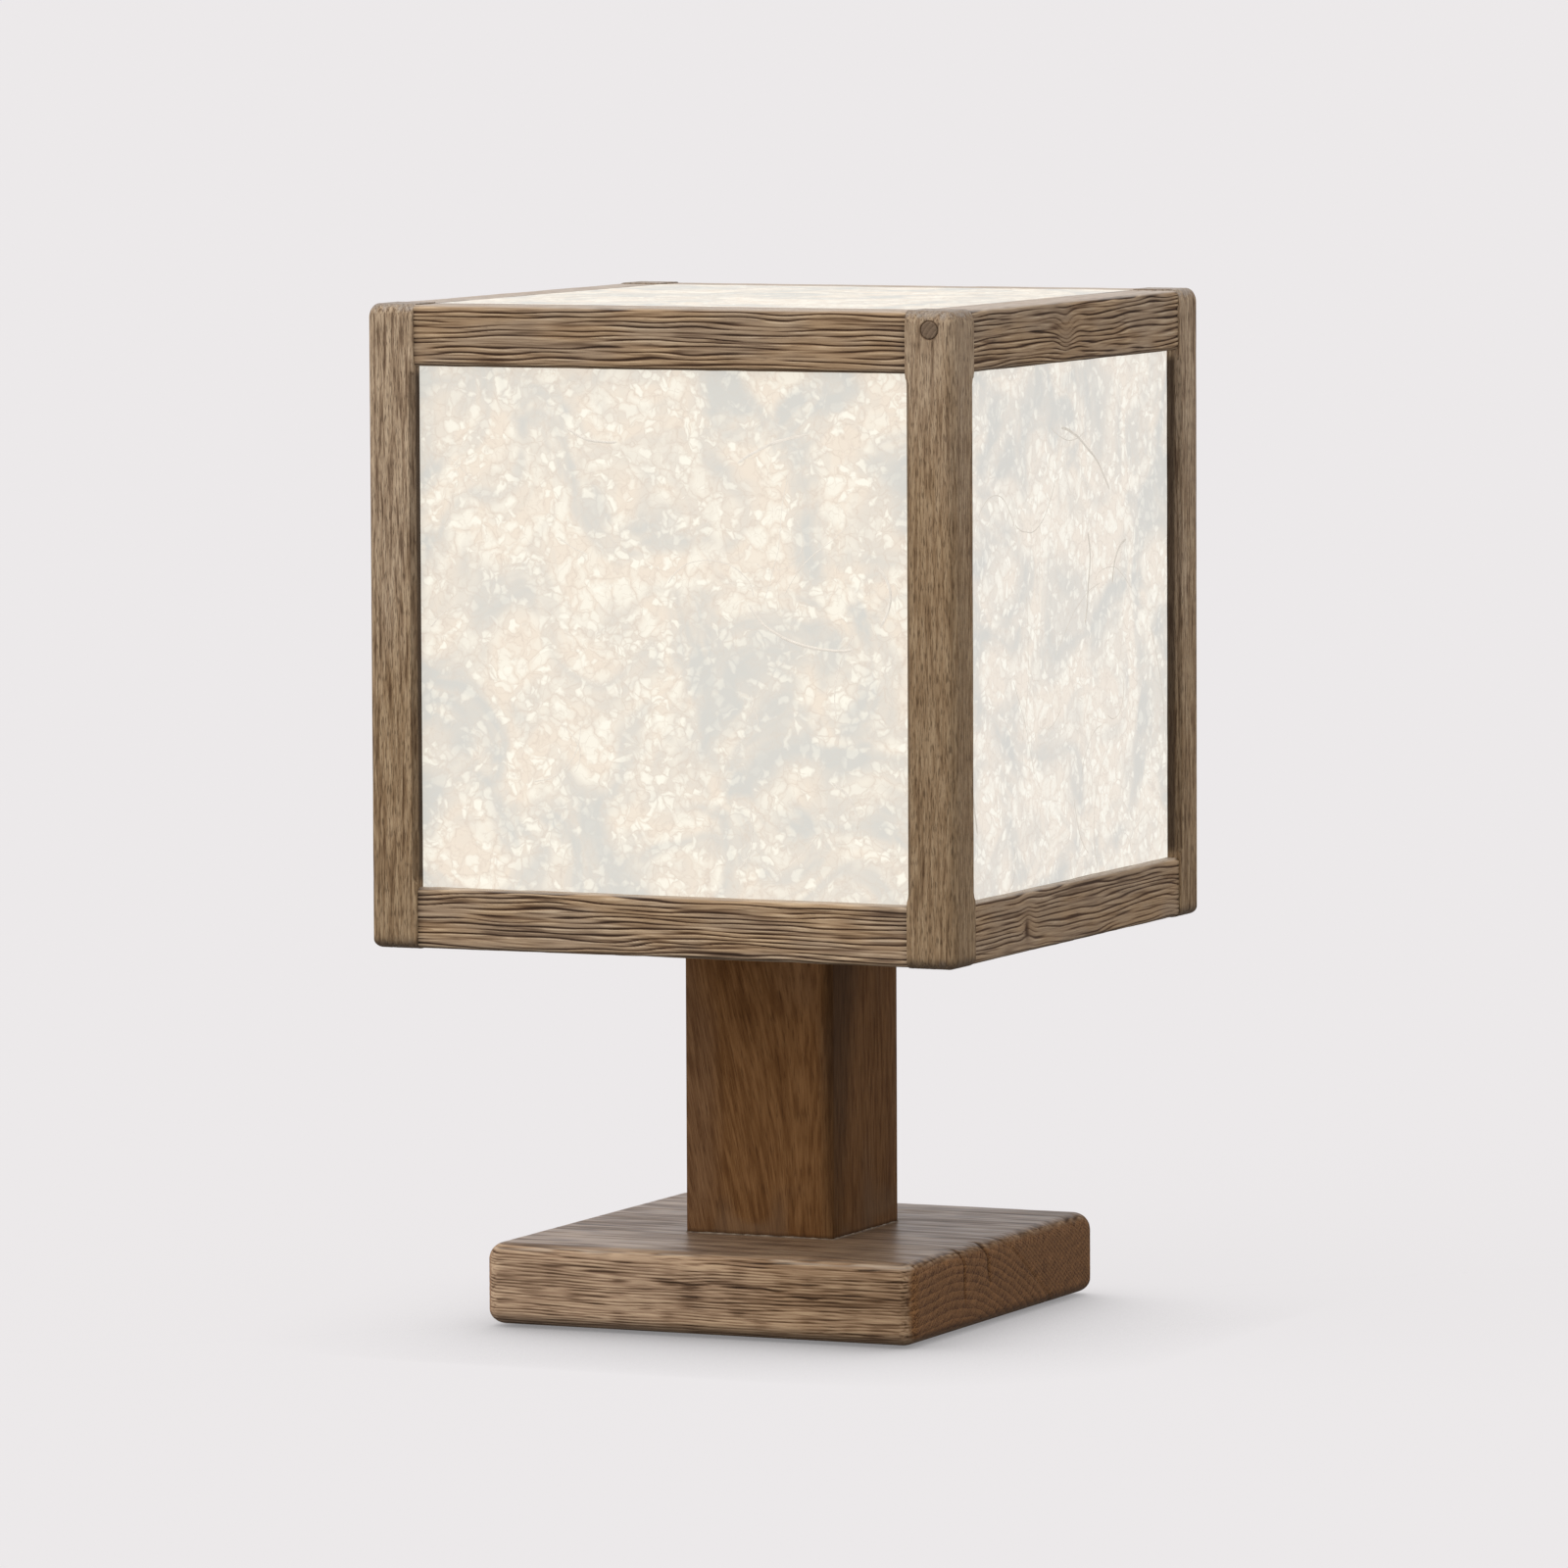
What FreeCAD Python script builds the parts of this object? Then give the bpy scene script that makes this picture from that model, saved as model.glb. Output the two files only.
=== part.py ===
import FreeCAD, Part
import os
from FreeCAD import Vector

# Wooden table lamp: a square lantern of oak posts and rails, with paper panels let into grooves,
# carried by a halved cross of bars on a square stem and a square base.
# Millimetres. +Z is up, the front faces -Y, and the origin is the middle of the underside.

# Base and stem
base_side = 222.0
base_thickness = 39.0
base_edge_radius = 8.5
base_foot_radius = 7.0
felt_thickness = 1.0
felt_inset = 14.0
stem_side = 76.8
stem_height = 143.2
stem_edge_radius = 1.2

# Lantern frame
lantern_width = 300.0
lantern_depth = 300.0
post_length = 303.4
post_side = 24.5
post_corner_radius = 5.0
post_end_radius = 4.0
opening_chamfer = 2.4
chamfer_runout = 5.0
rail_height = 28.8
rail_setback = 1.0
post_overrun = 0.5
rail_edge_radius = 2.6

# Frame joints
tenon_thickness = 8.0
tenon_cover = 8.4
joint_web = 1.5
mortise_clearance = 0.1
mortise_end_gap = 0.6
dowel_radius = 4.0
dowel_inset = 8.9
dowel_cover = 9.2
dowel_in_rail = 25.0
dowel_clearance = 0.05
dowel_end_gap = 0.8
dowel_end_chamfer = 0.8

# Paper panels
panel_thickness = 1.5
panel_recess = 7.0
groove_depth = 4.0
groove_clearance = 0.2
panel_edge_gap = 0.6
top_panel_thickness = 3.0
top_panel_gap = 0.5
cleat_side = 8.0
cleat_end_gap = 0.3

# Cross of bars under the lantern
bar_width = 40.0
bar_thickness = 14.0
bar_housing_depth = 12.0
bar_clearance = 0.15
bar_screw_radius = 2.0
bar_screw_head_radius = 4.0
bar_screw_cover = 3.5
screw_clearance = 0.05

# Locating dowels at both ends of the stem
stem_dowel_in_stem = 18.0
stem_dowel_in_base = 14.0
bar_dowel_cover = 4.2

# Threaded rod through base, stem and bars, with its washers and nuts
rod_radius = 5.0
rod_wall = 1.5
stem_bore_clearance = 1.0
rod_hole_clearance = 0.3
rod_below_nut = 3.0
rod_in_holder = 10.0
thread_clearance = 0.05
washer_overlap = 9.0
washer_thickness = 2.5
nut_across_flats = 17.0
nut_thickness = 6.0
nut_recess_clearance = 6.0
nut_recess_over_cord = 1.3

# Cord inlet at the back of the base
cord_hole_clearance = 0.7
bush_bore_radius = 3.5
bush_wall = 2.5
bush_length = 16.0
bush_flange_overlap = 2.5
bush_flange_thickness = 2.0
bush_clearance = 0.05

# Screw lampholder
holder_wall = 2.2
holder_neck_wall = 4.0
holder_neck_height = 5.0
holder_wiring_room = 6.0
holder_rim_height = 7.0
holder_ledge = 3.0
holder_skirt_over_cap = 1.6
holder_lip_gap = 0.7
holder_lip_thickness = 3.0
block_thickness = 10.0
block_wire_hole_radius = 2.0
block_wire_hole_offset = 8.5
block_clearance = 0.15
sleeve_wall = 0.6
sleeve_to_skirt = 3.4
sleeve_height = 19.0
contact_width = 6.0
contact_thickness = 0.5
contact_foot_length = 15.0
contact_rise = 3.5

# Screw bulb
cap_radius = 13.05
cap_wall = 0.5
cap_height = 20.0
cap_to_sleeve = 0.3
cap_taper_height = 4.0
tip_radius = 5.0
tip_bevel = 1.6
tip_height = 1.6
tip_to_contact = 0.3
cap_bevel = 3.0
bulb_neck_step = 0.9
bulb_neck_height = 5.0
bulb_plug_depth = 6.0
bulb_body_height = 38.0
bulb_swell = 1.4
bulb_globe_radius = 30.0
bulb_rim_step = 2.0
bulb_globe_wall = 1.2
led_board_margin = 6.0
led_board_thickness = 1.6
led_seat_depth = 3.0
bulb_fit = 0.1

# Room for cutters that break out through a surface
past = 1.0

# Sizes and heights that follow from the sizes above
base_bottom = felt_thickness
base_top = base_bottom + base_thickness
stem_top = base_top + stem_height
rails_bottom = stem_top
post_bottom = rails_bottom - post_overrun
post_top = post_bottom + post_length
rails_top = post_top - post_overrun
opening_bottom = rails_bottom + rail_height
opening_top = rails_top - rail_height
half_width = lantern_width / 2
half_depth = lantern_depth / 2
inner_width = lantern_width - 2 * post_side
inner_depth = lantern_depth - 2 * post_side
rail_thickness = post_side - rail_setback
rail_middle = rail_setback + rail_thickness / 2
tenon_length = post_side - tenon_cover - mortise_end_gap
dowel_in_post = post_side - dowel_cover - dowel_end_gap
dowel_from_side = post_side / 2
dowel_hole_radius = dowel_radius + dowel_clearance
top_panel_bottom = rails_top - top_panel_thickness
bars_top = stem_top + bar_thickness
bar_screw_length = rail_height - bar_screw_cover
bar_screw_back = (bar_housing_depth - bar_clearance) / 2
stem_dowel_offset = (bar_width + stem_side) / 4
stem_dowel_in_bar = bar_thickness - bar_dowel_cover - dowel_end_gap
rod_hole_radius = rod_radius + rod_hole_clearance
thread_radius = rod_radius + thread_clearance
washer_radius = rod_radius + washer_overlap
cord_height = base_bottom + base_thickness / 2
cord_hole_radius = bush_bore_radius + cord_hole_clearance
recess_top = cord_height + cord_hole_radius + nut_recess_over_cord
bush_radius = bush_bore_radius + bush_wall
bush_flange_radius = bush_radius + bush_flange_overlap
sleeve_radius = cap_radius + cap_to_sleeve
sleeve_outer_radius = sleeve_radius + sleeve_wall
holder_inner_radius = sleeve_outer_radius + sleeve_to_skirt
holder_radius = holder_inner_radius + holder_wall
holder_neck_radius = rod_radius + holder_neck_wall
holder_bottom = bars_top + washer_thickness + nut_thickness
rod_top = holder_bottom + rod_in_holder
block_bottom = rod_top + holder_wiring_room
block_top = block_bottom + block_thickness
holder_rim = block_bottom + holder_rim_height
tip_bottom = block_top + contact_rise + tip_to_contact
tip_top = tip_bottom + tip_height
cap_bottom = tip_top + cap_taper_height
cap_top = cap_bottom + cap_height
insulator_radius = cap_radius - cap_bevel
bulb_neck_radius = cap_radius + bulb_neck_step
bulb_rim_radius = bulb_globe_radius - bulb_rim_step
bulb_rim = cap_top + bulb_neck_height + bulb_body_height
led_board_radius = bulb_rim_radius - led_board_margin


def block(x, y, z):
    """Box between pairs of limits along X, Y and Z."""
    sides = [high - low for low, high in (x, y, z)]
    return Part.makeBox(*sides, Vector(x[0], y[0], z[0]))


def about(middle, width):
    """Limits of a width that is centred on a point."""
    return (middle - width / 2, middle + width / 2)


def upright(radius, bottom, top, x=0.0, y=0.0):
    """Cylinder along Z."""
    return Part.makeCylinder(radius, top - bottom, Vector(x, y, bottom))


def lengthwise(radius, y, x, z):
    """Cylinder along Y between two limits."""
    return Part.makeCylinder(radius, y[1] - y[0], Vector(x, y[0], z), Vector(0, 1, 0))


def turned(start, *steps):
    """Solid turned about Z. A step is a point (radius, height), or an arc as (middle point, end point)."""

    def at(point):
        return Vector(point[0], 0, point[1])

    edges = []
    here = start
    for step in (*steps, start):
        if isinstance(step[0], tuple):
            middle, there = step
            edges.append(Part.Arc(at(here), at(middle), at(there)).toShape())
        else:
            there = step
            edges.append(Part.LineSegment(at(here), at(there)).toShape())
        here = there
    return Part.Face(Part.Wire(edges)).revolve(Vector(), Vector(0, 0, 1), 360)


def rounded(solid, radius, chosen):
    """Solid with a fillet on each edge whose middle passes the test."""
    edges = [edge for edge in solid.Edges if chosen(edge.CenterOfMass)]
    return solid.makeFillet(radius, edges)


def near(a, b):
    return abs(a - b) < 1e-6


def quarter_turns(solid, count):
    """Solid turned about Z by a number of quarter turns."""
    turned_copy = solid.copy()
    turned_copy.rotate(Vector(), Vector(0, 0, 1), 90 * count)
    return turned_copy


def dowel(start, axis, length):
    """Wooden pin with both ends chamfered."""
    pin = Part.makeCylinder(dowel_radius, length, start, axis)
    ends = [edge for edge in pin.Edges if isinstance(edge.Curve, Part.Circle)]
    return pin.makeChamfer(dowel_end_chamfer, ends)


def top_tenon_limits():
    """Heights of the tenons at the top, between the panel groove and the dowel of the next rail."""
    low = opening_top + groove_depth + joint_web
    high = post_top - dowel_inset - dowel_radius - joint_web
    return (low, high)


def mirrored_heights(limits):
    """The same heights reflected about the middle of the posts."""
    double_middle = post_bottom + post_top
    return (double_middle - limits[1], double_middle - limits[0])


def stopped_chamfer(corner, into):
    """Cutter for a vertical arris of the opening, running out before it meets the rails."""
    inward = Vector(into[0], into[1], 0).normalize()
    sideways = Vector(-inward.y, inward.x, 0)
    depth = opening_chamfer / 2 ** 0.5
    half_facet = depth + past
    profile = [
        (-past, opening_bottom),
        (0, opening_bottom),
        (depth, opening_bottom + chamfer_runout),
        (depth, opening_top - chamfer_runout),
        (0, opening_top),
        (-past, opening_top),
    ]
    start = Vector(corner[0], corner[1], 0) - sideways * half_facet
    points = [start + inward * along + Vector(0, 0, height) for along, height in profile]
    face = Part.Face(Part.makePolygon(points + points[:1]))
    return face.extrude(sideways * 2 * half_facet)


def make_post(through_at_top):
    """Front right post: grooved for two panels, mortised for the front rails, bored for the side rails."""
    inner_x = half_width - post_side
    inner_y = post_side - half_depth
    post = block((inner_x, half_width), (-half_depth, inner_y), (post_bottom, post_top))
    post = rounded(post, post_corner_radius, lambda c: near(c.x, half_width) and near(c.y, -half_depth))

    def on_outer_end(c):
        at_end = near(c.z, post_bottom) or near(c.z, post_top)
        return at_end and not near(c.x, inner_x) and not near(c.y, inner_y)

    post = rounded(post, min(post_end_radius, 0.9 * post_corner_radius), on_outer_end)
    cuts = [
        stopped_chamfer((inner_x, -half_depth), (1, 1)),
        stopped_chamfer((half_width, inner_y), (-1, -1)),
    ]
    groove_width = panel_thickness + 2 * groove_clearance
    groove_heights = (opening_bottom - groove_depth, opening_top + groove_depth)
    groove_middle = panel_recess + panel_thickness / 2
    front_groove = about(groove_middle - half_depth, groove_width)
    side_groove = about(half_width - groove_middle, groove_width)
    cuts.append(block((inner_x - past, inner_x + groove_depth), front_groove, groove_heights))
    cuts.append(block(side_groove, (inner_y - groove_depth, inner_y + past), groove_heights))

    mortise_depth = inner_x + tenon_length + mortise_end_gap
    mortise_width = about(rail_middle - half_depth, tenon_thickness + 2 * mortise_clearance)
    for limits in (top_tenon_limits(), mirrored_heights(top_tenon_limits())):
        heights = (limits[0] - mortise_clearance, limits[1] + mortise_clearance)
        cuts.append(block((inner_x - past, mortise_depth), mortise_width, heights))

    blind_end = inner_y - dowel_in_post - dowel_end_gap
    top_end = -half_depth - past if through_at_top else blind_end
    dowel_x = half_width - dowel_from_side
    for end, height in ((top_end, post_top - dowel_inset), (blind_end, post_bottom + dowel_inset)):
        cuts.append(lengthwise(dowel_hole_radius, (end, inner_y + past), dowel_x, height))
    return post.cut(cuts)


def make_posts():
    """Four posts, mirrored from the front right one. Only that one has a dowel right through it."""
    across = Vector(1, 0, 0)
    along = Vector(0, 1, 0)
    blind = make_post(through_at_top=False)
    return {
        "post_front_right": make_post(through_at_top=True),
        "post_front_left": blind.mirror(Vector(), across),
        "post_back_right": blind.mirror(Vector(), along),
        "post_back_left": blind.mirror(Vector(), across).mirror(Vector(), along),
    }


def make_rail(length, outer, heights, panel_edge, tenoned):
    """Rail along X whose outer face lies rail_setback behind the plane y = -outer."""
    face = rail_setback - outer
    back = face + rail_thickness
    rail = block(about(0, length), (face, back), heights)
    rail = rounded(rail, rail_edge_radius, lambda c: near(c.y, face) and near(c.x, 0))

    into_rail = groove_depth if near(panel_edge, heights[0]) else -groove_depth
    out_of_rail = -past if into_rail > 0 else past
    groove_heights = sorted((panel_edge + into_rail, panel_edge + out_of_rail))
    groove = about(panel_recess + panel_thickness / 2 - outer, panel_thickness + 2 * groove_clearance)
    rail = rail.cut(block(about(0, length + 2 * past), groove, groove_heights))

    at_top = near(panel_edge, opening_top)
    if tenoned:
        limits = top_tenon_limits() if at_top else mirrored_heights(top_tenon_limits())
        tenon_width = about(rail_middle - outer, tenon_thickness)
        tenons = [
            block((length / 2, length / 2 + tenon_length), tenon_width, limits),
            block((-length / 2 - tenon_length, -length / 2), tenon_width, limits),
        ]
        return rail.fuse(tenons).removeSplitter()
    height = post_top - dowel_inset if at_top else post_bottom + dowel_inset
    hole_depth = dowel_in_rail + dowel_end_gap
    holes = []
    for end in (-1, 1):
        mouth = Vector(end * length / 2, dowel_from_side - outer, height)
        holes.append(Part.makeCylinder(dowel_hole_radius, hole_depth, mouth, Vector(-end, 0, 0)))
    return rail.cut(holes)


def bar_end_housing(outer):
    """Housing for the end of a cross bar, in the rail along X at y = -outer."""
    inner_face = post_side - outer
    depth = (inner_face - bar_housing_depth, inner_face + past)
    pocket = block(about(0, bar_width + 2 * bar_clearance), depth, (rails_bottom - past, bars_top))
    pilot_y = inner_face - bar_screw_back
    pilot_top = rails_bottom + bar_screw_length + past
    pilot = upright(bar_screw_radius + screw_clearance, bars_top, pilot_top, 0, pilot_y)
    return pocket.fuse(pilot)


def make_rails():
    """Top and bottom rails. Front and back are tenoned into the posts, left and right are dowelled."""
    sides = (
        ("front", inner_width, half_depth, True, 0),
        ("right", inner_depth, half_width, False, 1),
        ("back", inner_width, half_depth, True, 2),
        ("left", inner_depth, half_width, False, 3),
    )
    rails = {}
    for side, length, outer, tenoned, turns in sides:
        top = make_rail(length, outer, (opening_top, rails_top), opening_top, tenoned)
        bottom = make_rail(length, outer, (rails_bottom, opening_bottom), opening_bottom, tenoned)
        bottom = bottom.cut(bar_end_housing(outer))
        rails["top_rail_" + side] = quarter_turns(top, turns)
        rails["bottom_rail_" + side] = quarter_turns(bottom, turns)
    return rails


def make_frame_dowels():
    """Seven blind dowels in the side rails, and the one whose end shows on the front right post."""
    inner_y = half_depth - post_side
    blind_length = dowel_in_post + dowel_in_rail
    blind = []
    for x in (dowel_from_side - half_width, half_width - dowel_from_side):
        for height in (post_bottom + dowel_inset, post_top - dowel_inset):
            back_start = Vector(x, inner_y - dowel_in_rail, height)
            blind.append(dowel(back_start, Vector(0, 1, 0), blind_length))
            if x < 0 or height < (post_bottom + post_top) / 2:
                front_start = Vector(x, dowel_in_rail - inner_y, height)
                blind.append(dowel(front_start, Vector(0, -1, 0), blind_length))
    through_start = Vector(half_width - dowel_from_side, dowel_in_rail - inner_y, post_top - dowel_inset)
    through = Part.makeCylinder(dowel_radius, dowel_in_rail + post_side, through_start, Vector(0, -1, 0))
    return {"rail_dowels": Part.makeCompound(blind), "through_dowel": through}


def make_panels():
    """Paper panels: four upright ones standing in the grooves, and one laid in from above."""
    panels = {}
    heights = (opening_bottom - groove_depth, opening_top + groove_depth - panel_edge_gap)
    sides = (
        ("front", inner_width, half_depth, 0),
        ("right", inner_depth, half_width, 1),
        ("back", inner_width, half_depth, 2),
        ("left", inner_depth, half_width, 3),
    )
    for side, opening, outer, turns in sides:
        width = opening + 2 * (groove_depth - panel_edge_gap)
        depth = (panel_recess - outer, panel_recess + panel_thickness - outer)
        panels["paper_" + side] = quarter_turns(block(about(0, width), depth, heights), turns)
    top_x = about(0, inner_width - 2 * top_panel_gap)
    top_y = about(0, inner_depth - 2 * top_panel_gap)
    panels["paper_top"] = block(top_x, top_y, (top_panel_bottom, rails_top))
    return panels


def make_cleats():
    """Four cleats inside the top rails, which the top panel lies on."""
    heights = (top_panel_bottom - cleat_side, top_panel_bottom)
    long_x = about(0, inner_width - 2 * cleat_end_gap)
    long_y = (-inner_depth / 2, cleat_side - inner_depth / 2)
    long_cleat = block(long_x, long_y, heights)
    short_x = (inner_width / 2 - cleat_side, inner_width / 2)
    short_y = about(0, inner_depth - 2 * cleat_side - 2 * cleat_end_gap)
    short_cleat = block(short_x, short_y, heights)
    return {
        "cleat_front": long_cleat,
        "cleat_back": quarter_turns(long_cleat, 2),
        "cleat_right": short_cleat,
        "cleat_left": quarter_turns(short_cleat, 2),
    }


def bar_screw(x, y):
    """Countersunk wood screw, driven up through the end of a bar into the rail above it."""
    head_height = bar_screw_head_radius - bar_screw_radius
    tip_length = 2 * bar_screw_radius
    screw = turned(
        (0, 0),
        (bar_screw_head_radius, 0),
        (bar_screw_radius, head_height),
        (bar_screw_radius, bar_screw_length - tip_length),
        (0, bar_screw_length),
    )
    screw.translate(Vector(x, y, rails_bottom))
    return screw


def bar_screw_hole(x, y):
    """Clearance hole and countersink for a bar screw."""
    radius = bar_screw_radius + screw_clearance
    head_radius = bar_screw_head_radius + screw_clearance
    hole = turned(
        (0, -past),
        (head_radius, -past),
        (head_radius, 0),
        (radius, head_radius - radius),
        (radius, bar_thickness + past),
        (0, bar_thickness + past),
    )
    hole.translate(Vector(x, y, rails_bottom))
    return hole


def make_cross():
    """Two bars halved into each other over the stem, let into the bottom rails and screwed to them."""
    heights = (stem_top, bars_top)
    reach_x = inner_width / 2 + bar_housing_depth - bar_clearance
    reach_y = inner_depth / 2 + bar_housing_depth - bar_clearance
    half_lap = stem_top + bar_thickness / 2
    lap = bar_width + 2 * bar_clearance
    rod_hole = upright(rod_hole_radius, stem_top - past, bars_top + past)

    across = block(about(0, 2 * reach_x), about(0, bar_width), heights)
    across_cuts = [block(about(0, lap), about(0, lap), (half_lap, bars_top + past)), rod_hole]
    along = block(about(0, bar_width), about(0, 2 * reach_y), heights)
    along_cuts = [block(about(0, lap), about(0, lap), (stem_top - past, half_lap)), rod_hole]
    screws = []
    for side in (-1, 1):
        x = side * (inner_width / 2 + bar_screw_back)
        y = side * (inner_depth / 2 + bar_screw_back)
        across_cuts.append(bar_screw_hole(x, 0))
        along_cuts.append(bar_screw_hole(0, y))
        screws.append(bar_screw(x, 0))
        screws.append(bar_screw(0, y))
        hole_top = stem_top + stem_dowel_in_bar + dowel_end_gap
        across_cuts.append(upright(dowel_hole_radius, stem_top - past, hole_top, side * stem_dowel_offset))
    return {
        "cross_bar_across": across.cut(across_cuts),
        "cross_bar_along": along.cut(along_cuts),
        "cross_bar_screws": Part.makeCompound(screws),
    }


def make_stem():
    """Plain square stem, bored for the rod and for locating dowels at both ends."""
    half = stem_side / 2
    stem = block(about(0, stem_side), about(0, stem_side), (base_top, stem_top))
    stem = rounded(stem, stem_edge_radius, lambda c: near(abs(c.x), half) and near(abs(c.y), half))
    cuts = [upright(rod_radius + stem_bore_clearance, base_top - past, stem_top + past)]
    hole_depth = stem_dowel_in_stem + dowel_end_gap
    for x in (-stem_dowel_offset, stem_dowel_offset):
        cuts.append(upright(dowel_hole_radius, base_top - past, base_top + hole_depth, x))
        cuts.append(upright(dowel_hole_radius, stem_top - hole_depth, stem_top + past, x))
    return {"stem": stem.cut(cuts)}


def make_stem_dowels():
    """Two dowels into the base and two into the cross bar."""
    up = Vector(0, 0, 1)
    low_length = stem_dowel_in_base + stem_dowel_in_stem
    high_length = stem_dowel_in_stem + stem_dowel_in_bar
    dowels = []
    for x in (-stem_dowel_offset, stem_dowel_offset):
        dowels.append(dowel(Vector(x, 0, base_top - stem_dowel_in_base), up, low_length))
        dowels.append(dowel(Vector(x, 0, stem_top - stem_dowel_in_stem), up, high_length))
    return {"stem_dowels": Part.makeCompound(dowels)}


def make_base():
    """Square slab with every edge rounded, recessed below for the nut and bored from the back for a cord."""
    half = base_side / 2
    base = block(about(0, base_side), about(0, base_side), (base_bottom, base_top))
    widest = 0.45 * base_thickness
    base = rounded(base, min(base_edge_radius, widest), lambda c: not near(c.z, base_bottom))
    base = rounded(base, min(base_foot_radius, widest), lambda c: near(c.z, base_bottom))
    bush_inner = half - (bush_length - bush_flange_thickness)
    cuts = [
        upright(washer_radius + nut_recess_clearance, base_bottom - past, recess_top),
        upright(rod_hole_radius, recess_top - past, base_top + past),
        lengthwise(cord_hole_radius, (0, bush_inner + past), 0, cord_height),
        lengthwise(bush_radius + bush_clearance, (bush_inner, half + past), 0, cord_height),
    ]
    for x in (-stem_dowel_offset, stem_dowel_offset):
        hole_bottom = base_top - stem_dowel_in_base - dowel_end_gap
        cuts.append(upright(dowel_hole_radius, hole_bottom, base_top + past, x))
    return {"base": base.cut(cuts)}


def make_felt():
    """Felt under the base, cut square with the edges left clear of the rounding."""
    side = base_side - 2 * felt_inset
    return {"base_felt": block(about(0, side), about(0, side), (0, felt_thickness))}


def make_bush():
    """Flanged bush in the back of the base, which the cord would pass through."""
    body_length = bush_length - bush_flange_thickness
    mouth = bush_flange_thickness / 2
    bush = turned(
        (bush_bore_radius, -body_length),
        (bush_radius, -body_length),
        (bush_radius, 0),
        (bush_flange_radius, 0),
        (bush_flange_radius, mouth),
        (bush_flange_radius - mouth, bush_flange_thickness),
        (bush_bore_radius, bush_flange_thickness),
    )
    bush.rotate(Vector(), Vector(1, 0, 0), -90)
    bush.translate(Vector(0, base_side / 2, cord_height))
    return {"cord_bush": bush}


def washer(bottom):
    """Flat washer on the rod."""
    hole = upright(rod_hole_radius, bottom - past, bottom + washer_thickness + past)
    return upright(washer_radius, bottom, bottom + washer_thickness).cut(hole)


def nut(bottom):
    """Hexagon nut on the rod, its corners turned off at top and bottom."""
    corner = nut_across_flats / 3 ** 0.5
    flat = nut_across_flats / 2
    corners = [Vector(corner, 0, bottom)]
    turn = FreeCAD.Rotation(Vector(0, 0, 1), 60)
    for _ in range(6):
        corners.append(turn.multVec(corners[-1]))
    corners[-1] = corners[0]
    prism = Part.Face(Part.makePolygon(corners)).extrude(Vector(0, 0, nut_thickness))
    slope = (corner - flat) / 2
    crown = turned(
        (0, bottom),
        (flat, bottom),
        (corner, bottom + slope),
        (corner, bottom + nut_thickness - slope),
        (flat, bottom + nut_thickness),
        (0, bottom + nut_thickness),
    )
    hole = upright(thread_radius, bottom - past, bottom + nut_thickness + past)
    return prism.common(crown).cut(hole)


def make_rod():
    """Hollow rod that clamps base, stem and cross together and carries the lampholder."""
    lower_washer = recess_top - washer_thickness
    lower_nut = lower_washer - nut_thickness
    bottom = lower_nut - rod_below_nut
    bore = upright(rod_radius - rod_wall, bottom - past, rod_top + past)
    return {
        "lamp_rod": upright(rod_radius, bottom, rod_top).cut(bore),
        "base_washer": washer(lower_washer),
        "base_nut": nut(lower_nut),
        "frame_washer": washer(bars_top),
        "frame_nut": nut(bars_top + washer_thickness),
    }


def make_holder():
    """Screw lampholder: cap on the rod, terminal block, threaded sleeve, centre contact and skirt."""
    ledge = holder_inner_radius - holder_ledge
    neck_top = holder_bottom + holder_neck_height
    shoulder = block_bottom - holder_wall
    flare = ((holder_neck_radius + holder_radius) / 2, neck_top + (shoulder - neck_top) / 3)
    cap = turned(
        (thread_radius, holder_bottom),
        (holder_neck_radius, holder_bottom),
        (holder_neck_radius, neck_top),
        (flare, (holder_radius, shoulder)),
        (holder_radius, holder_rim),
        (holder_inner_radius, holder_rim),
        (holder_inner_radius, block_bottom),
        (ledge, block_bottom),
        (ledge, shoulder),
        (holder_neck_radius, rod_top),
        (thread_radius, rod_top),
    )
    terminal_block = upright(holder_inner_radius - block_clearance, block_bottom, block_top)
    wire_holes = [
        upright(block_wire_hole_radius, block_bottom - past, block_top + past, 0, y)
        for y in (-block_wire_hole_offset, block_wire_hole_offset)
    ]
    sleeve_top = block_top + sleeve_height
    sleeve = upright(sleeve_outer_radius, block_top, sleeve_top)
    skirt_top = cap_top + holder_skirt_over_cap
    lip_radius = sleeve_outer_radius + holder_lip_gap
    lip_bottom = skirt_top - holder_lip_thickness
    skirt = turned(
        (holder_inner_radius, holder_rim),
        (holder_radius, holder_rim),
        (holder_radius, skirt_top - holder_wall),
        (holder_inner_radius, skirt_top),
        (lip_radius, skirt_top),
        (lip_radius, lip_bottom),
        (holder_inner_radius, lip_bottom),
    )
    return {
        "holder_cap": cap,
        "holder_block": terminal_block.cut(wire_holes),
        "holder_sleeve": sleeve.cut(upright(sleeve_radius, block_top - past, sleeve_top + past)),
        "holder_contact": make_contact(),
        "holder_skirt": skirt,
    }


def make_contact():
    """Centre contact: a strip on the terminal block, folded back on itself under the bulb's tip."""
    half = contact_foot_length / 2
    low = block_top
    high = block_top + contact_rise
    fold = half - contact_thickness
    profile = [
        (-half, low),
        (half, low),
        (half, low + contact_thickness),
        (-half / 2, high),
        (-half / 2, high - contact_thickness),
        (fold, low + contact_thickness),
        (-half, low + contact_thickness),
    ]
    points = [Vector(x, -contact_width / 2, z) for x, z in profile]
    return Part.Face(Part.makePolygon(points + points[:1])).extrude(Vector(0, contact_width, 0))


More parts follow.
